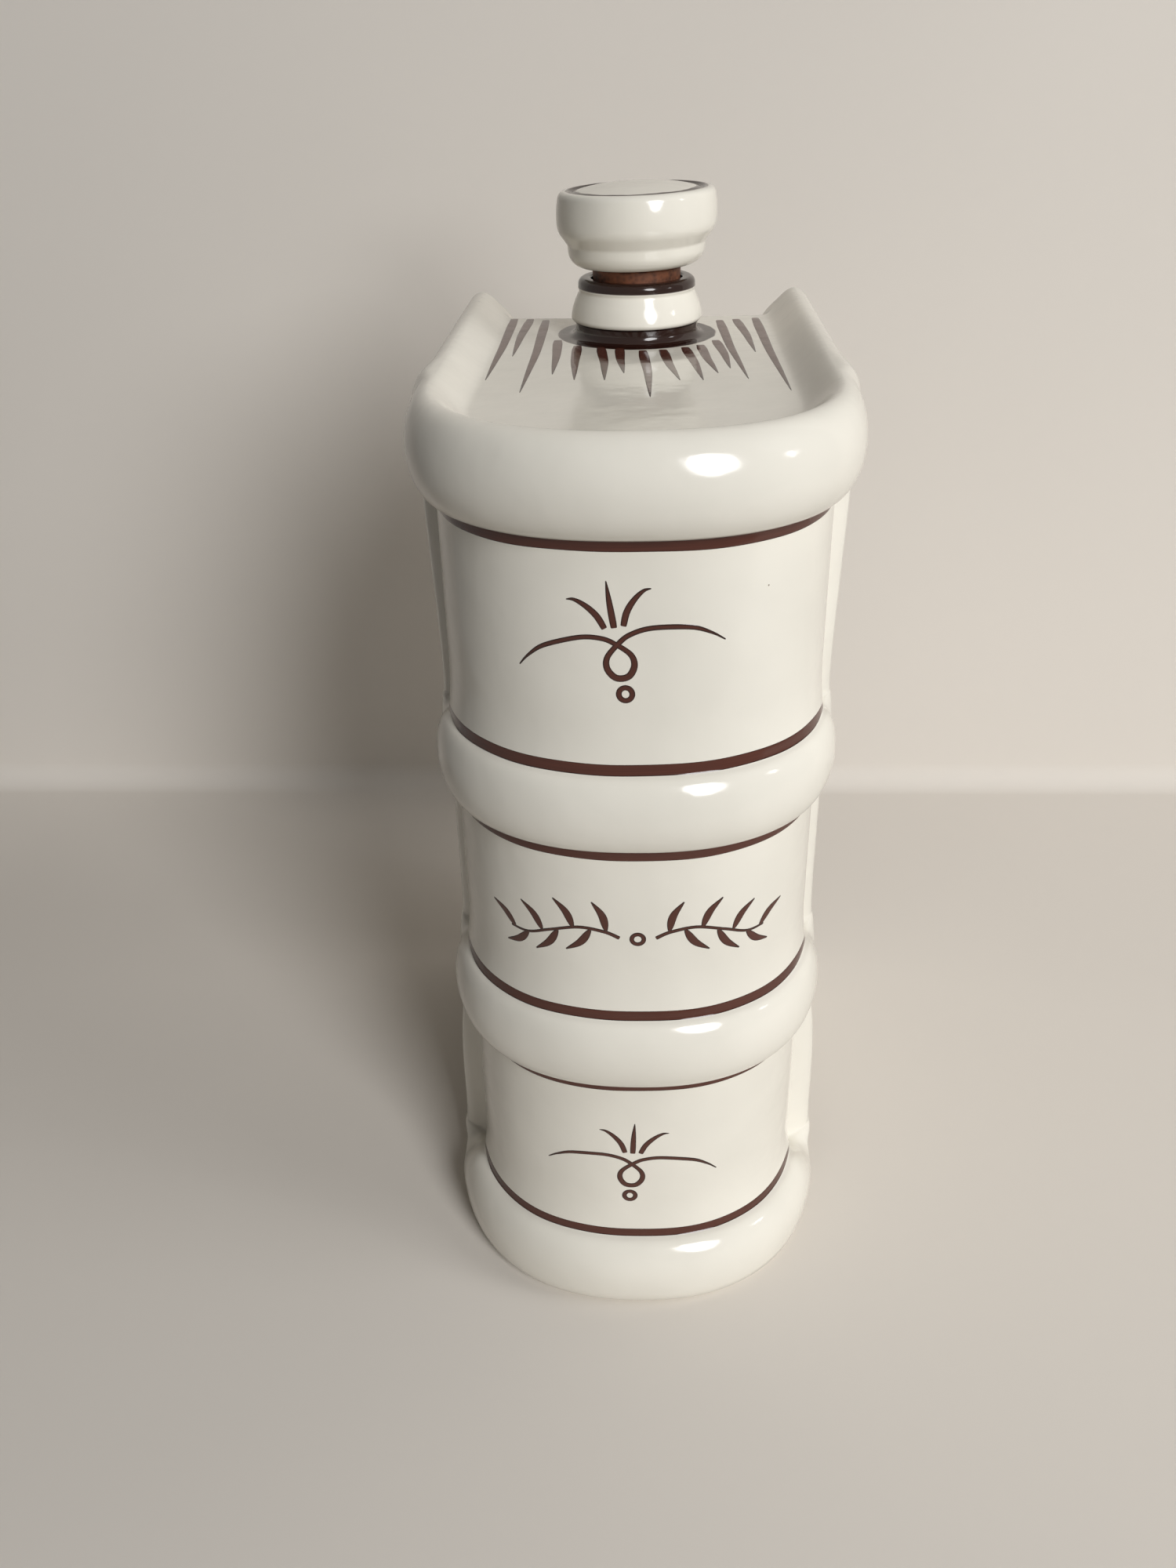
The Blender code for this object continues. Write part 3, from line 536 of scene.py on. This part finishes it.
def rounded_loop(inset, corner, level):
    """A closed line an inset inside the panels, the boards and the fore-edge, with rounded back corners."""
    x, y = family_line(inset, SPINE_HALF_WIDTH - inset, SPINE_DEPTH, 24)
    turn = np.linspace(0.0, pi / 2, CORNER_STEPS)
    side, back = BOARD_HALF_WIDTH - inset, PAGE_DEPTH - PAGE_HOLLOW - inset
    x = np.concatenate([x, [side], side - corner * (1.0 - np.cos(turn)), [0.0]])
    y = np.concatenate([y, [SPINE_DEPTH + HINGE_WIDTH], back - corner * (1.0 - np.sin(turn)), [back]])
    half = np.column_stack([x, y + FRONT_Y, np.full(len(x), level)])
    return np.concatenate([half, half[-2:0:-1] * np.array([-1.0, 1.0, 1.0])])


def ring_grid(loops):
    """Quads between closed loops of the same number of points."""
    return np.concatenate(loops), grid_faces(len(loops), len(loops[0]), wrap=True)


def neck_profile():
    """Neck from the pages over the swelling collar and the lip, and down the tapered bore to the hollow."""
    return filleted([(NECK_ROOT_RADIUS + NECK_FILLET, PAGE_HEIGHT, 0.0),
                     (NECK_ROOT_RADIUS, PAGE_HEIGHT, NECK_FILLET), (NECK_ROOT_RADIUS, 0.1777, 0.0003),
                     (0.0131, 0.1777, 0.0009), (0.01258, 0.1806, 0.0100), (0.01125, 0.18345, 0.0006),
                     (0.01150, 0.18380, 0.0004), (0.01140, 0.1858, 0.00115), (BORE_RADIUS, 0.1858, 0.0005),
                     (BORE_RADIUS - BORE_TAPER, CEILING_HEIGHT, 0.0)])


def make_body(profile, material):
    """The porcelain body: outside, top, neck, hollow and underside, which meet point for point."""
    grid = outer_grid(profile)
    rows, columns = grid.shape[:2]
    outside = grid.reshape(-1, 3), grid_faces(rows, columns, wrap=True)
    neck = neck_profile()
    top = fill_between(grid[-1], [ring(neck[0, 0], PAGE_HEIGHT)], top_points(), TOP_CLEARANCE)

    turn = np.linspace(0.0, pi / 2, CORNER_STEPS)
    hollow = [rounded_loop(WALL + HOLLOW_EDGE_RADIUS * (1.0 - cos(t)), HOLLOW_CORNER_RADIUS,
                           FLOOR_HEIGHT + HOLLOW_EDGE_RADIUS * (1.0 - sin(t))) for t in turn[::-1]]
    hollow += [rounded_loop(WALL + CEILING_EDGE_RADIUS * (1.0 - cos(t)), HOLLOW_CORNER_RADIUS,
                            CEILING_HEIGHT - CEILING_EDGE_RADIUS * (1.0 - sin(t))) for t in turn]
    ceiling = fill_between(hollow[-1], [ring(neck[-1, 0], CEILING_HEIGHT)])
    floor = fill_between(hollow[0], [])

    recess = [rounded_loop(FOOT_INSET + FOOT_RECESS_SLOPE * share, FOOT_CORNER_RADIUS,
                           FOOT_RECESS * float(smooth_step(share))) for share in np.linspace(0.0, 1.0, 7)]
    foot = fill_between(grid[0], [recess[0]])
    underside = fill_between(recess[-1], [])
    patches = [outside, top, turned(neck), ring_grid(hollow), ceiling, floor, foot, ring_grid(recess),
               underside]
    return closed_mesh("porcelain_book_body", patches, material)


# ---------------------------------------------------------------- paint on the glaze

def spine_skin(profile):
    """The spine's surface as a function of the way round it, the way up it and a lift along its normal: the
    same sum of roll, groove and spread as the outside of the book."""
    outline = half_outline()[:SPINE_ROWS + HINGE_ROWS]
    walked = np.concatenate([[0.0], np.cumsum(np.hypot(*np.diff(outline[:, :2], axis=0).T))])
    step = np.diff(profile[:, :2], axis=0)
    climbed = np.concatenate([[0.0], np.cumsum(np.hypot(*step.T))])
    rise, lean = np.gradient(profile[:, 0], climbed), np.gradient(profile[:, 1], climbed)

    def skin(round_way, up_way, lift):
        side = np.where(round_way < 0.0, -1.0, 1.0)
        columns = [np.interp(np.abs(round_way), walked, column) for column in outline.T]
        x, y, away_x, away_y, reach, groove, _, _, beside, drawn_in, spreads = columns
        z, out, fill, _, drop, lost, spread = (np.interp(up_way, climbed, column) for column in profile.T)
        shift = reach * out * (1.0 - lost * drawn_in) - groove * (1.0 - fill) + spread * spreads
        shift = shift + lift * np.interp(up_way, climbed, rise)
        height = z - drop * beside - lift * reach * np.interp(up_way, climbed, lean)
        return np.stack([side * (x + away_x * shift), y + away_y * shift + FRONT_Y, height], axis=-1)

    def way_up(height):
        return np.interp(height, profile[:, 0], climbed)

    return skin, way_up


def page_skin(x, y, lift):
    """The pages' surface: level, and rounded down over the back edge by r(1 - sqrt(1 - (1 - e/r)^2))."""
    half = BOARD_INNER_X - PAGE_CORNER_RADIUS
    back = FRONT_Y + PAGE_DEPTH - PAGE_HOLLOW * (1.0 - np.minimum(np.abs(x) / half, 1.0) ** 2)
    past = np.clip(1.0 - (back - y) / PAGE_EDGE_RADIUS, 0.0, 0.99)
    drop = PAGE_EDGE_RADIUS * (1.0 - np.sqrt(1.0 - past ** 2))
    return np.stack([x, y, PAGE_HEIGHT - drop + lift], axis=-1)


def brush_line(knots, count):
    """A smooth line through its knots (Catmull-Rom: each stretch leaves along its neighbours' chord)."""
    knots = np.array(knots, float)
    padded = np.concatenate([[2 * knots[0] - knots[1]], knots, [2 * knots[-1] - knots[-2]]])
    place = np.linspace(0.0, len(knots) - 1.0, count)
    at = np.minimum(place.astype(int), len(knots) - 2)
    t = (place - at)[:, None]
    a, b, c, d = (padded[at + i] for i in range(4))
    return 0.5 * (2 * b + (c - a) * t + (2 * a - 5 * b + 4 * c - d) * t ** 2 + (3 * b - a - 3 * c + d) * t ** 3)


def bowed(root_x, root_y, tip_x, tip_y, bow):
    """Root, middle and tip of a stroke whose middle stands off its chord by its bow."""
    root, tip = np.array([root_x, root_y]), np.array([tip_x, tip_y])
    heading = (tip - root) / np.hypot(*(tip - root))
    return root, (root + tip) / 2 + np.array([-heading[1], heading[0]]) * bow, tip


def enamel_stroke(skin, line, half_width, closed=False):
    """A skin of enamel along a line, or round a closed one: points at line + v x half width x normal, lifted by
    1 - v^4 and by less near its ends, and for every point its way along the stroke, its way across it, and
    its distances from the rim and from the nearer end."""
    if closed:
        ahead, behind = np.roll(line, -1, axis=0), np.roll(line, 1, axis=0)
        heading = ahead - behind
    else:
        heading = np.gradient(line, axis=0)
    heading /= np.hypot(*heading.T)[:, None]
    normal = np.column_stack([-heading[:, 1], heading[:, 0]])
    v = np.linspace(-1.0, 1.0, STROKE_COLUMNS)
    flat = line[:, None] + v[None, :, None] * half_width[:, None, None] * normal[:, None]
    u = np.linspace(0.0, 1.0, len(line))
    ends = np.ones(len(line)) if closed else np.minimum(1.0, np.minimum(u, 1.0 - u) / END_SHARE)
    lift = ENAMEL_THICKNESS * (1.0 - v[None] ** 4) * ends[:, None]
    face = skin(flat[..., 0], flat[..., 1], lift - ENAMEL_SINK).reshape(-1, 3)
    under = skin(flat[..., 0], flat[..., 1], 0.0 * lift - ENAMEL_SINK).reshape(-1, 3)
    faces = grid_faces(len(line), STROKE_COLUMNS)
    if closed:
        seam = grid_faces(2, STROKE_COLUMNS) - STROKE_COLUMNS
        faces = np.concatenate([faces, seam % (len(line) * STROKE_COLUMNS)])
    length = np.concatenate([[0.0], np.cumsum(np.hypot(*np.diff(line, axis=0).T))])
    along = np.broadcast_to(length[:, None], flat.shape[:2]).reshape(-1)
    beside = (v[None] * half_width[:, None]).reshape(-1)
    margin = ((1.0 - np.abs(v[None])) * half_width[:, None]).reshape(-1)
    from_end = np.ones(len(line)) if closed else np.minimum(length, length[-1] - length)
    from_end = np.broadcast_to(from_end[:, None], flat.shape[:2]).reshape(-1)
    values = np.column_stack([along, beside, margin, from_end])
    return face, under, faces, values


def paint(name, strokes, material):
    """One object from several strokes, each a lens of its face and its underside."""
    patches, values = [], []
    for face, under, faces, stroke_values in strokes:
        patches += [(face, faces), (under, faces[:, ::-1])]
        values += [stroke_values, stroke_values]
    values = np.concatenate(values)
    return closed_mesh(name, patches, material, zip(STROKE_VALUES, values.T))


def band(skin, way_up, crease, above, width, half_length):
    """A painted band round the spine just above or below a crease, thinner towards its ends, which wanders by
    less than 0.1 mm as a brush does."""
    span = np.linspace(-1.0, 1.0, 241)
    middle = way_up(crease) + (1.0 if above else -1.0) * (width / 2 + BAND_GAP)
    wander = 0.00006 * np.sin(7.0 * span + crease * 900.0) + 0.00003 * np.sin(19.0 * span)
    line = np.column_stack([span * half_length, middle + wander])
    taper = 1.0 - 0.5 * smooth_step((np.abs(span) - 0.72) / 0.28)
    return enamel_stroke(skin, line, width / 2 * taper)


def small_ring(half_height, middle):
    """Points round an oval ring, in millimetres, whose middle lies at a height."""
    turn = np.linspace(0.0, 2 * pi, RING_POINTS, endpoint=False)
    return np.column_stack([RING_HALF_WIDTH * np.cos(turn), middle + half_height * np.sin(turn)])


def blade_width(peak):
    """Half width of a blade that swells as a sine up to its peak and draws in a little towards its foot."""
    share = np.linspace(0.0, 1.0, BLADE_POINTS)
    swell = np.minimum(share / peak, 0.62 + 0.38 * (1.0 - share) / (1.0 - peak))
    return BLADE_HALF_WIDTH * (BLADE_TIP + (1.0 - BLADE_TIP) * np.sin(np.clip(swell, 0.0, 1.0) * pi / 2))


def flourish(skin, way_up, centre, turn, size):
    """A looped flourish: two drooping arms that cross into a drop, three blades above and a ring below.

    The one line of the arms and the drop rises by a hundredth of a millimetre along its way, so that it lies
    over itself where it crosses."""
    across, height = centre
    turned_x = np.array([cos(turn), sin(turn)]) * size
    turned_y = np.array([-sin(turn), cos(turn)]) * size

    def placed(points):
        points = np.asarray(points, float) * 0.001
        points = points[:, :1] * turned_x + points[:, 1:] * turned_y
        return points + np.array([across, way_up(height)])

    line = placed(brush_line(ARMS, ARM_POINTS))
    share = np.linspace(0.0, 1.0, ARM_POINTS)
    from_end = np.minimum(share, 1.0 - share)
    tip, soon, middle = ARM_HALF_WIDTHS
    width = tip + soon * smooth_step(from_end * 7.0) + middle * smooth_step(from_end * 5.0 - 1.4)
    step = CROSSING_RISE * share[:, None]
    strokes = [enamel_stroke(lambda a, b, lift: skin(a, b, lift + step), line, size * width)]
    side_blade = np.array(SIDE_BLADE)
    for knots, peak in ((side_blade * (-1.0, 1.0), 0.80), (MIDDLE_BLADE, 0.85), (side_blade, 0.80)):
        strokes.append(enamel_stroke(skin, placed(brush_line(knots, BLADE_POINTS)), size * blade_width(peak)))
    loop = placed(small_ring(*FLOURISH_RING))
    strokes.append(enamel_stroke(skin, loop, np.full(RING_POINTS, FLOURISH_RING_LINE * size), closed=True))
    return strokes


def leaf_spray(skin, way_up):
    """Two leafy branches that part from a ring: a waved stem on each side with brushed leaves along it, which
    swell as sin(pi s^0.75) from root to tip."""
    across, height = SPRAY_CENTRE
    centre = np.array([across, way_up(height)])
    leaf_width = 0.00014 + 0.00072 * np.sin(pi * np.linspace(0.0, 1.0, LEAF_POINTS) ** 0.75)
    stem = brush_line(STEM, STEM_POINTS)
    stem_width = np.linspace(0.00046, 0.00030, STEM_POINTS)
    strokes = []
    for side in (-1.0, 1.0):
        mirror = np.array([side, 1.0]) * 0.001 * SPRAY_SCALE
        strokes.append(enamel_stroke(skin, stem * mirror + centre, stem_width))
        for leaf in LEAVES:
            root, middle, tip = bowed(*leaf)
            line = brush_line([root, middle, tip], LEAF_POINTS)
            strokes.append(enamel_stroke(skin, line * mirror + centre, leaf_width))
    loop = small_ring(*SPRAY_RING) * 0.001 + centre
    strokes.append(enamel_stroke(skin, loop, np.full(RING_POINTS, SPRAY_RING_LINE), closed=True))
    return strokes


def page_stroke(*stroke):
    """One brush stroke on the pages, wide at its root and drawn out to a point, with a slight bow."""
    root, middle, tip = (point * 0.001 for point in bowed(*stroke))
    line = brush_line([root, (root + middle) / 2, middle, (middle + tip) / 2, tip], STROKE_POINTS)
    share = np.linspace(0.0, 1.0, STROKE_POINTS)
    width = STROKE_HALF_WIDTH * np.minimum(1.0, 0.72 + share * 2.0) * (1.0 - share ** 2.2) + STROKE_POINT_WIDTH
    return enamel_stroke(page_skin, line, width)


# ---------------------------------------------------------------- materials

# A colour Mix node's two colours among its inputs, and their mix among its outputs
MIX_A, MIX_B, MIX_RESULT = 6, 7, 2


def colour(code):
    """An sRGB hex colour as linear values."""
    parts = [int(code[i:i + 2], 16) / 255.0 for i in (1, 3, 5)]
    return tuple(p / 12.92 if p <= 0.04045 else ((p + 0.055) / 1.055) ** 2.4 for p in parts) + (1.0,)


def set_inputs(tree, node, inputs):
    """Gives each input of a node its value, or a link from another node's output."""
    for name, value in inputs.items():
        if isinstance(value, bpy.types.NodeSocket):
            tree.links.new(value, node.inputs[name])
        else:
            node.inputs[name].default_value = value


def add_node(tree, kind, inputs=None, stops=(), **settings):
    """Adds a shader node with its inputs, the stops of its colour ramp and its other settings; gives its
    outputs."""
    made = tree.nodes.new("ShaderNode" + kind)
    for name, value in settings.items():
        setattr(made, name, value)
    for index, (position, code) in enumerate(stops):
        made.color_ramp.elements[index].position = position
        made.color_ramp.elements[index].color = colour(code)
    set_inputs(tree, made, inputs or {})
    return made.outputs


def new_material(name):
    """A material with one Principled BSDF: itself, its tree, its shader and the object's coordinates."""
    material = bpy.data.materials.new(name)
    material.use_nodes = True
    tree = material.node_tree
    return material, tree, tree.nodes["Principled BSDF"], add_node(tree, "TexCoord")["Object"]


def span_mask(tree, value, low, high, soft):
    """1 where a value lies between two limits, with soft ends."""
    rise = add_node(tree, "MapRange", {"Value": value, "From Min": low - soft, "From Max": low + soft})[0]
    fall = add_node(tree, "MapRange", {"Value": value, "From Min": high + soft, "From Max": high - soft})[0]
    return add_node(tree, "Math", {0: rise, 1: fall}, operation="MULTIPLY")[0]


def porcelain_white(tree, place):
    """Milky white of fired glaze over porcelain, a little warmer and greyer in soft clouds 25 mm across."""
    cloud = add_node(tree, "TexNoise", {"Vector": place, "Scale": 40.0, "Detail": 2.0})["Fac"]
    return add_node(tree, "ValToRGB", {"Fac": cloud}, ((0.35, "#e5e1d6"), (0.65, "#ebe7dc")))["Color"]


def enamel_brown(tree, place, pooled, streak_scale=700.0):
    """Sepia enamel: reddish brown where it lies thin, nearly black where it has pooled, with brush streaks."""
    streak = add_node(tree, "TexNoise", {"Vector": place, "Scale": streak_scale, "Detail": 3.0})["Fac"]
    amount = add_node(tree, "Math", {0: streak, 1: 0.5, 2: -0.1}, operation="MULTIPLY_ADD")[0]
    amount = add_node(tree, "Math", {0: pooled, 1: 0.7, 2: amount}, operation="MULTIPLY_ADD")[0]
    return add_node(tree, "ValToRGB", {"Fac": amount}, ((0.05, "#562d22"), (0.75, "#27140f")))["Color"]


def glaze_bump(tree, place):
    """Waviness of a poured glaze, 6 mm from wave to wave and a few hundredths of a millimetre high."""
    inputs = {"Vector": place, "Scale": 170.0, "Detail": 2.0, "Roughness": 0.45}
    wave = add_node(tree, "TexNoise", inputs)["Fac"]
    return add_node(tree, "Bump", {"Height": wave, "Strength": 0.65, "Distance": 0.00017})["Normal"]


def specks(tree, place):
    """Pinholes and iron specks of the firing, about 0.3 mm across: a few on the whole bottle."""
    cell = add_node(tree, "TexVoronoi", {"Vector": place, "Scale": 85.0})
    near = add_node(tree, "MapRange", {"Value": cell["Distance"], "From Min": 0.016, "From Max": 0.009})[0]
    pick = add_node(tree, "SeparateColor", {"Color": cell["Color"]})[0]
    some = add_node(tree, "Math", {0: pick, 1: 0.55}, operation="GREATER_THAN")[0]
    return add_node(tree, "Math", {0: near, 1: some}, operation="MULTIPLY")[0]


def axis_distance(tree, place):
    """Distance from the neck's upright axis."""
    inputs = {"Vector": place, "Location": (0.0, -NECK_Y, 0.0), "Scale": (1.0, 1.0, 0.0)}
    centred = add_node(tree, "Mapping", inputs)[0]
    return add_node(tree, "VectorMath", {0: centred}, operation="LENGTH")["Value"]


def glazed_porcelain(name, painted):
    """Slip-cast hard porcelain under a clear glaze: milky white, mirror gloss, bare matt biscuit at the foot.

    painted is a list of rings; waves 4 mm long shift their edges by up to 0.3 mm."""
    material, tree, shader, place = new_material(name)
    height = add_node(tree, "SeparateXYZ", {"Vector": place})["Z"]
    wave = add_node(tree, "TexNoise", {"Vector": place, "Scale": 260.0, "Detail": 1.0})["Fac"]
    inputs = {0: wave, 1: RING_WOBBLE, 2: axis_distance(tree, place)}
    radius = add_node(tree, "Math", inputs, operation="MULTIPLY_ADD")[0]
    inputs = {"Factor": specks(tree, place), MIX_A: porcelain_white(tree, place), MIX_B: colour("#8a7c6e")}
    base = add_node(tree, "Mix", inputs, data_type="RGBA")[MIX_RESULT]
    for low_radius, high_radius, low, high in painted:
        around = span_mask(tree, radius, low_radius + RING_WOBBLE / 2, high_radius + RING_WOBBLE / 2, 0.00018)
        between = span_mask(tree, height, low, high, 0.00010)
        mask = add_node(tree, "Math", {0: around, 1: between}, operation="MULTIPLY")[0]
        inputs = {"Factor": mask, MIX_A: base, MIX_B: enamel_brown(tree, place, mask)}
        base = add_node(tree, "Mix", inputs, data_type="RGBA")[MIX_RESULT]
    foot = add_node(tree, "MapRange", {"Value": height, "From Min": 0.00045, "From Max": 0.00025})[0]
    inputs = {"Factor": foot, MIX_A: base, MIX_B: colour("#d9d2c2")}
    base = add_node(tree, "Mix", inputs, data_type="RGBA")[MIX_RESULT]
    matt = add_node(tree, "MapRange", {"Value": foot, "To Min": 0.12, "To Max": 0.75})[0]
    set_inputs(tree, shader, {"Base Color": base, "Roughness": matt, "Normal": glaze_bump(tree, place),
                              "IOR": 1.52})
    return material


def brown_enamel():
    """Brush-painted sepia enamel fired on the glaze: glossy, reddish in the stroke, pooled dark along its rim,
    thin at its ends, with hair streaks 0.3 mm apart that run with the brush."""
    material, tree, shader, place = new_material("fired_brown_enamel")
    along, across, rim, end = (add_node(tree, "Attribute", attribute_name=label)["Fac"]
                               for label in STROKE_VALUES)
    brush = add_node(tree, "CombineXYZ", {"X": along, "Y": across})[0]
    brush = add_node(tree, "Mapping", {"Vector": brush, "Scale": (70.0, 3000.0, 0.0)})[0]
    edge = add_node(tree, "MapRange", {"Value": rim, "From Max": 0.00005})[0]
    ends = add_node(tree, "MapRange", {"Value": end, "From Max": 0.00022, "To Min": 0.50})[0]
    cover = add_node(tree, "Math", {0: edge, 1: ends}, operation="MULTIPLY")[0]
    pooled = add_node(tree, "MapRange", {"Value": rim, "From Min": 0.00034, "From Max": 0.00010})[0]
    brown = enamel_brown(tree, brush, pooled, 1.0)
    inputs = {"Factor": cover, MIX_A: porcelain_white(tree, place), MIX_B: brown}
    base = add_node(tree, "Mix", inputs, data_type="RGBA")[MIX_RESULT]
    set_inputs(tree, shader, {"Base Color": base, "Normal": glaze_bump(tree, place), "Roughness": 0.10,
                              "IOR": 1.52})
    return material


def dark_painted_cork():
    """Natural cork painted dark brown as painted shade, for the shadow it lies in under the knob: soft matt
    bark with grains 0.8 mm across and dark pores.
    """
    material, tree, shader, place = new_material("cork_with_painted_shade")
    grain = add_node(tree, "TexVoronoi", {"Vector": place, "Scale": 1200.0})["Distance"]
    stain = add_node(tree, "TexNoise", {"Vector": place, "Scale": 220.0, "Detail": 5.0})["Fac"]
    tone = add_node(tree, "Math", {0: grain, 1: 0.35, 2: stain}, operation="MULTIPLY_ADD")[0]
    # Painted shade: these dark browns stand in for the shadow under the knob, not for the cork's own tan
    base = add_node(tree, "ValToRGB", {"Fac": tone}, ((0.38, "#25150f"), (0.78, "#7c4a30")))["Color"]
    bump = add_node(tree, "Bump", {"Height": tone, "Strength": 0.6, "Distance": 0.00015})["Normal"]
    set_inputs(tree, shader, {"Base Color": base, "Normal": bump, "Roughness": 0.62})
    return material


def studio_paper():
    """Pale matt backdrop paper, clear from its back so that it never stands before the bottle."""
    material, tree, shader, place = new_material("pale_backdrop_paper")
    tone = add_node(tree, "TexNoise", {"Vector": place, "Scale": 6.0, "Detail": 2.0})["Fac"]
    base = add_node(tree, "ValToRGB", {"Fac": tone}, ((0.0, "#d8d2ca"), (1.0, "#dfd9d1")))["Color"]
    set_inputs(tree, shader, {"Base Color": base, "Roughness": 0.9})
    behind = add_node(tree, "NewGeometry")["Backfacing"]
    clear = add_node(tree, "BsdfTransparent")[0]
    paper = add_node(tree, "MixShader", {0: behind, 1: shader.outputs[0], 2: clear})[0]
    set_inputs(tree, tree.nodes["Material Output"], {"Surface": paper})
    return material


# ---------------------------------------------------------------- stopper

def cork_profile():
    """The cork: tapered, with slightly worn edges, and a blind hole in its top for the knob's peg."""
    return filleted([(0.0, 0.1748, 0.0), (0.0080, 0.1748, 0.0005), (0.00862, 0.1877, 0.0004),
                     (0.0039, 0.1877, 0.0002), (0.0039, 0.1794, 0.0001), (0.0, 0.1794, 0.0)])


def knob_profile():
    """The knob: peg, tapered collar, cove, bulging drum, groove and low dome."""
    dome = np.linspace(1.0, 0.0, 16)
    dome = np.column_stack([0.01125 * dome, 0.2015 + 0.00125 * (1.0 - dome ** 2)])
    lower = filleted([(0.0, 0.1800, 0.0), (0.0036, 0.1800, 0.0003), (0.0036, 0.1880, 0.0002),
                      (0.0130, 0.1880, 0.0030), (0.0134, 0.1920, 0.0014), (0.0153, 0.1946, 0.0038),
                      (0.0155, 0.1979, 0.0170), (0.0149, 0.2015, 0.0014),
                      (0.0132, 0.20150, 0.0004), (0.01245, 0.20112, 0.0005), (0.01125, 0.2015, 0.0)])
    return np.concatenate([lower[:-1], dome])


def make_stopper(name, profile, material, lean=0.0):
    """A turned piece whose two ends lie on the axis; a lean lifts its right side by x tan(lean)."""
    points, faces = turned(profile)
    points[:, 2] += points[:, 0] * np.tan(lean)
    return closed_mesh(name, [(points, faces)], material)


# ---------------------------------------------------------------- stage, light and camera

def make_stage(material):
    """A floor that turns up into a wall behind the bottle, swept along x."""
    turn = np.linspace(0.0, pi / 2, 13)
    y = np.concatenate([[STAGE_FRONT], WALL_Y - CORNER_RADIUS * (1.0 - np.sin(turn)), [WALL_Y]])
    z = np.concatenate([[0.0], CORNER_RADIUS * (1.0 - np.cos(turn)), [STAGE_TOP]])
    x = np.array(STAGE_SIDES)
    points = np.stack(np.broadcast_arrays(x[None], y[:, None], z[:, None]), axis=-1).reshape(-1, 3)
    mesh = bpy.data.meshes.new("backdrop")
    mesh.from_pydata(points.tolist(), [], grid_faces(len(y), 2).tolist())
    mesh.shade_smooth()
    mesh.materials.append(material)
    stage = bpy.data.objects.new("backdrop", mesh)
    bpy.context.scene.collection.objects.link(stage)


def make_camera():
    """The camera at the photograph's place: turned by yaw, pitched down and rolled."""
    level = cos(CAMERA_PITCH)
    ahead = Vector((sin(CAMERA_YAW) * level, cos(CAMERA_YAW) * level, -sin(CAMERA_PITCH)))
    right = ahead.cross(Vector((0.0, 0.0, 1.0))).normalized()
    up = right.cross(ahead)
    across = right * cos(CAMERA_ROLL) + up * sin(CAMERA_ROLL)
    upright = up * cos(CAMERA_ROLL) - right * sin(CAMERA_ROLL)
    data = bpy.data.cameras.new("camera")
    data.sensor_fit = "HORIZONTAL"
    data.sensor_width = SENSOR_WIDTH
    data.lens = SENSOR_WIDTH * FOCAL_PIXELS / FRAME_PIXELS
    data.clip_start = 0.01
    camera = bpy.data.objects.new("camera", data)
    camera.matrix_world = Matrix((across, upright, -ahead)).transposed().to_4x4()
    camera.location = CAMERA_PLACE
    bpy.context.scene.collection.objects.link(camera)
    bpy.context.scene.camera = camera


def make_lamp(name, place, size, power, in_glaze):
    """An oval soft white light that looks at the middle of the bottle."""
    data = bpy.data.lights.new(name, "AREA")
    data.shape = "ELLIPSE"
    data.size, data.size_y = size
    data.energy = power
    lamp = bpy.data.objects.new(name, data)
    lamp.location = place
    lamp.rotation_euler = (Vector(LAMP_TARGET) - Vector(place)).to_track_quat("-Z", "Y").to_euler()
    lamp.visible_glossy = in_glaze
    bpy.context.scene.collection.objects.link(lamp)


def make_world():
    """A dim room that gives little light, and shows pale to the camera and in the glaze past the paper."""
    world = bpy.data.worlds.new("studio")
    world.use_nodes = True
    tree = world.node_tree
    path = add_node(tree, "LightPath")
    inputs = {0: path["Is Glossy Ray"], 1: path["Is Transmission Ray"]}
    reflected = add_node(tree, "Math", inputs, operation="MAXIMUM")[0]
    reflected = add_node(tree, "Math", {0: reflected, 1: WORLD_REFLECTED / WORLD_SEEN}, operation="MULTIPLY")[0]
    seen = add_node(tree, "Math", {0: path["Is Camera Ray"], 1: reflected}, operation="MAXIMUM")[0]
    strength = add_node(tree, "MapRange", {"Value": seen, "To Min": WORLD_LIGHT, "To Max": WORLD_SEEN})[0]
    set_inputs(tree, tree.nodes["Background"], {"Color": colour("#ece7e0"), "Strength": strength})
    bpy.context.scene.world = world


def dress(piece, body, slot, *nodes):
    """Rides a piece on its body and puts it in the place of CAD nodes. Its slot is not used."""
    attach(piece, body)
    if nodes:
        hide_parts(*nodes)


def main():
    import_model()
    profile = chosen_rows(side_profile())
    glaze = glazed_porcelain("glazed_porcelain", [NECK_ROOT_RING, LIP_RING])
    enamel = brown_enamel()
    dress(make_body(profile, glaze), "bottle", "glazed_porcelain", "bottle_body")

    skin, way_up = spine_skin(profile)
    dress(paint("spine_bands", [band(skin, way_up, *values) for values in BANDS], enamel), "bottle", None)
    dress(paint("page_strokes", [page_stroke(*stroke) for stroke in PAGE_STROKES], enamel), "bottle", None)
    dress(paint("leaf_spray", leaf_spray(skin, way_up), enamel), "bottle", None)
    for name, centre, turn, size in FLOURISHES:
        dress(paint(name, flourish(skin, way_up, centre, radians(turn), size), enamel), "bottle", None)

    cork = make_stopper("natural_cork_stopper", cork_profile(), dark_painted_cork())
    dress(cork, "stopper", "natural_cork", "stopper_cork")
    knob_glaze = glazed_porcelain("glazed_knob_porcelain", [KNOB_RING])
    knob = make_stopper("porcelain_knob", knob_profile(), knob_glaze, KNOB_LEAN)
    dress(knob, "stopper", "glazed_knob_porcelain", "stopper_knob")

    make_stage(studio_paper())
    for lamp in LAMPS:
        make_lamp(*lamp)
    make_world()
    make_camera()
    bpy.context.scene.view_settings.view_transform = "Standard"


main()
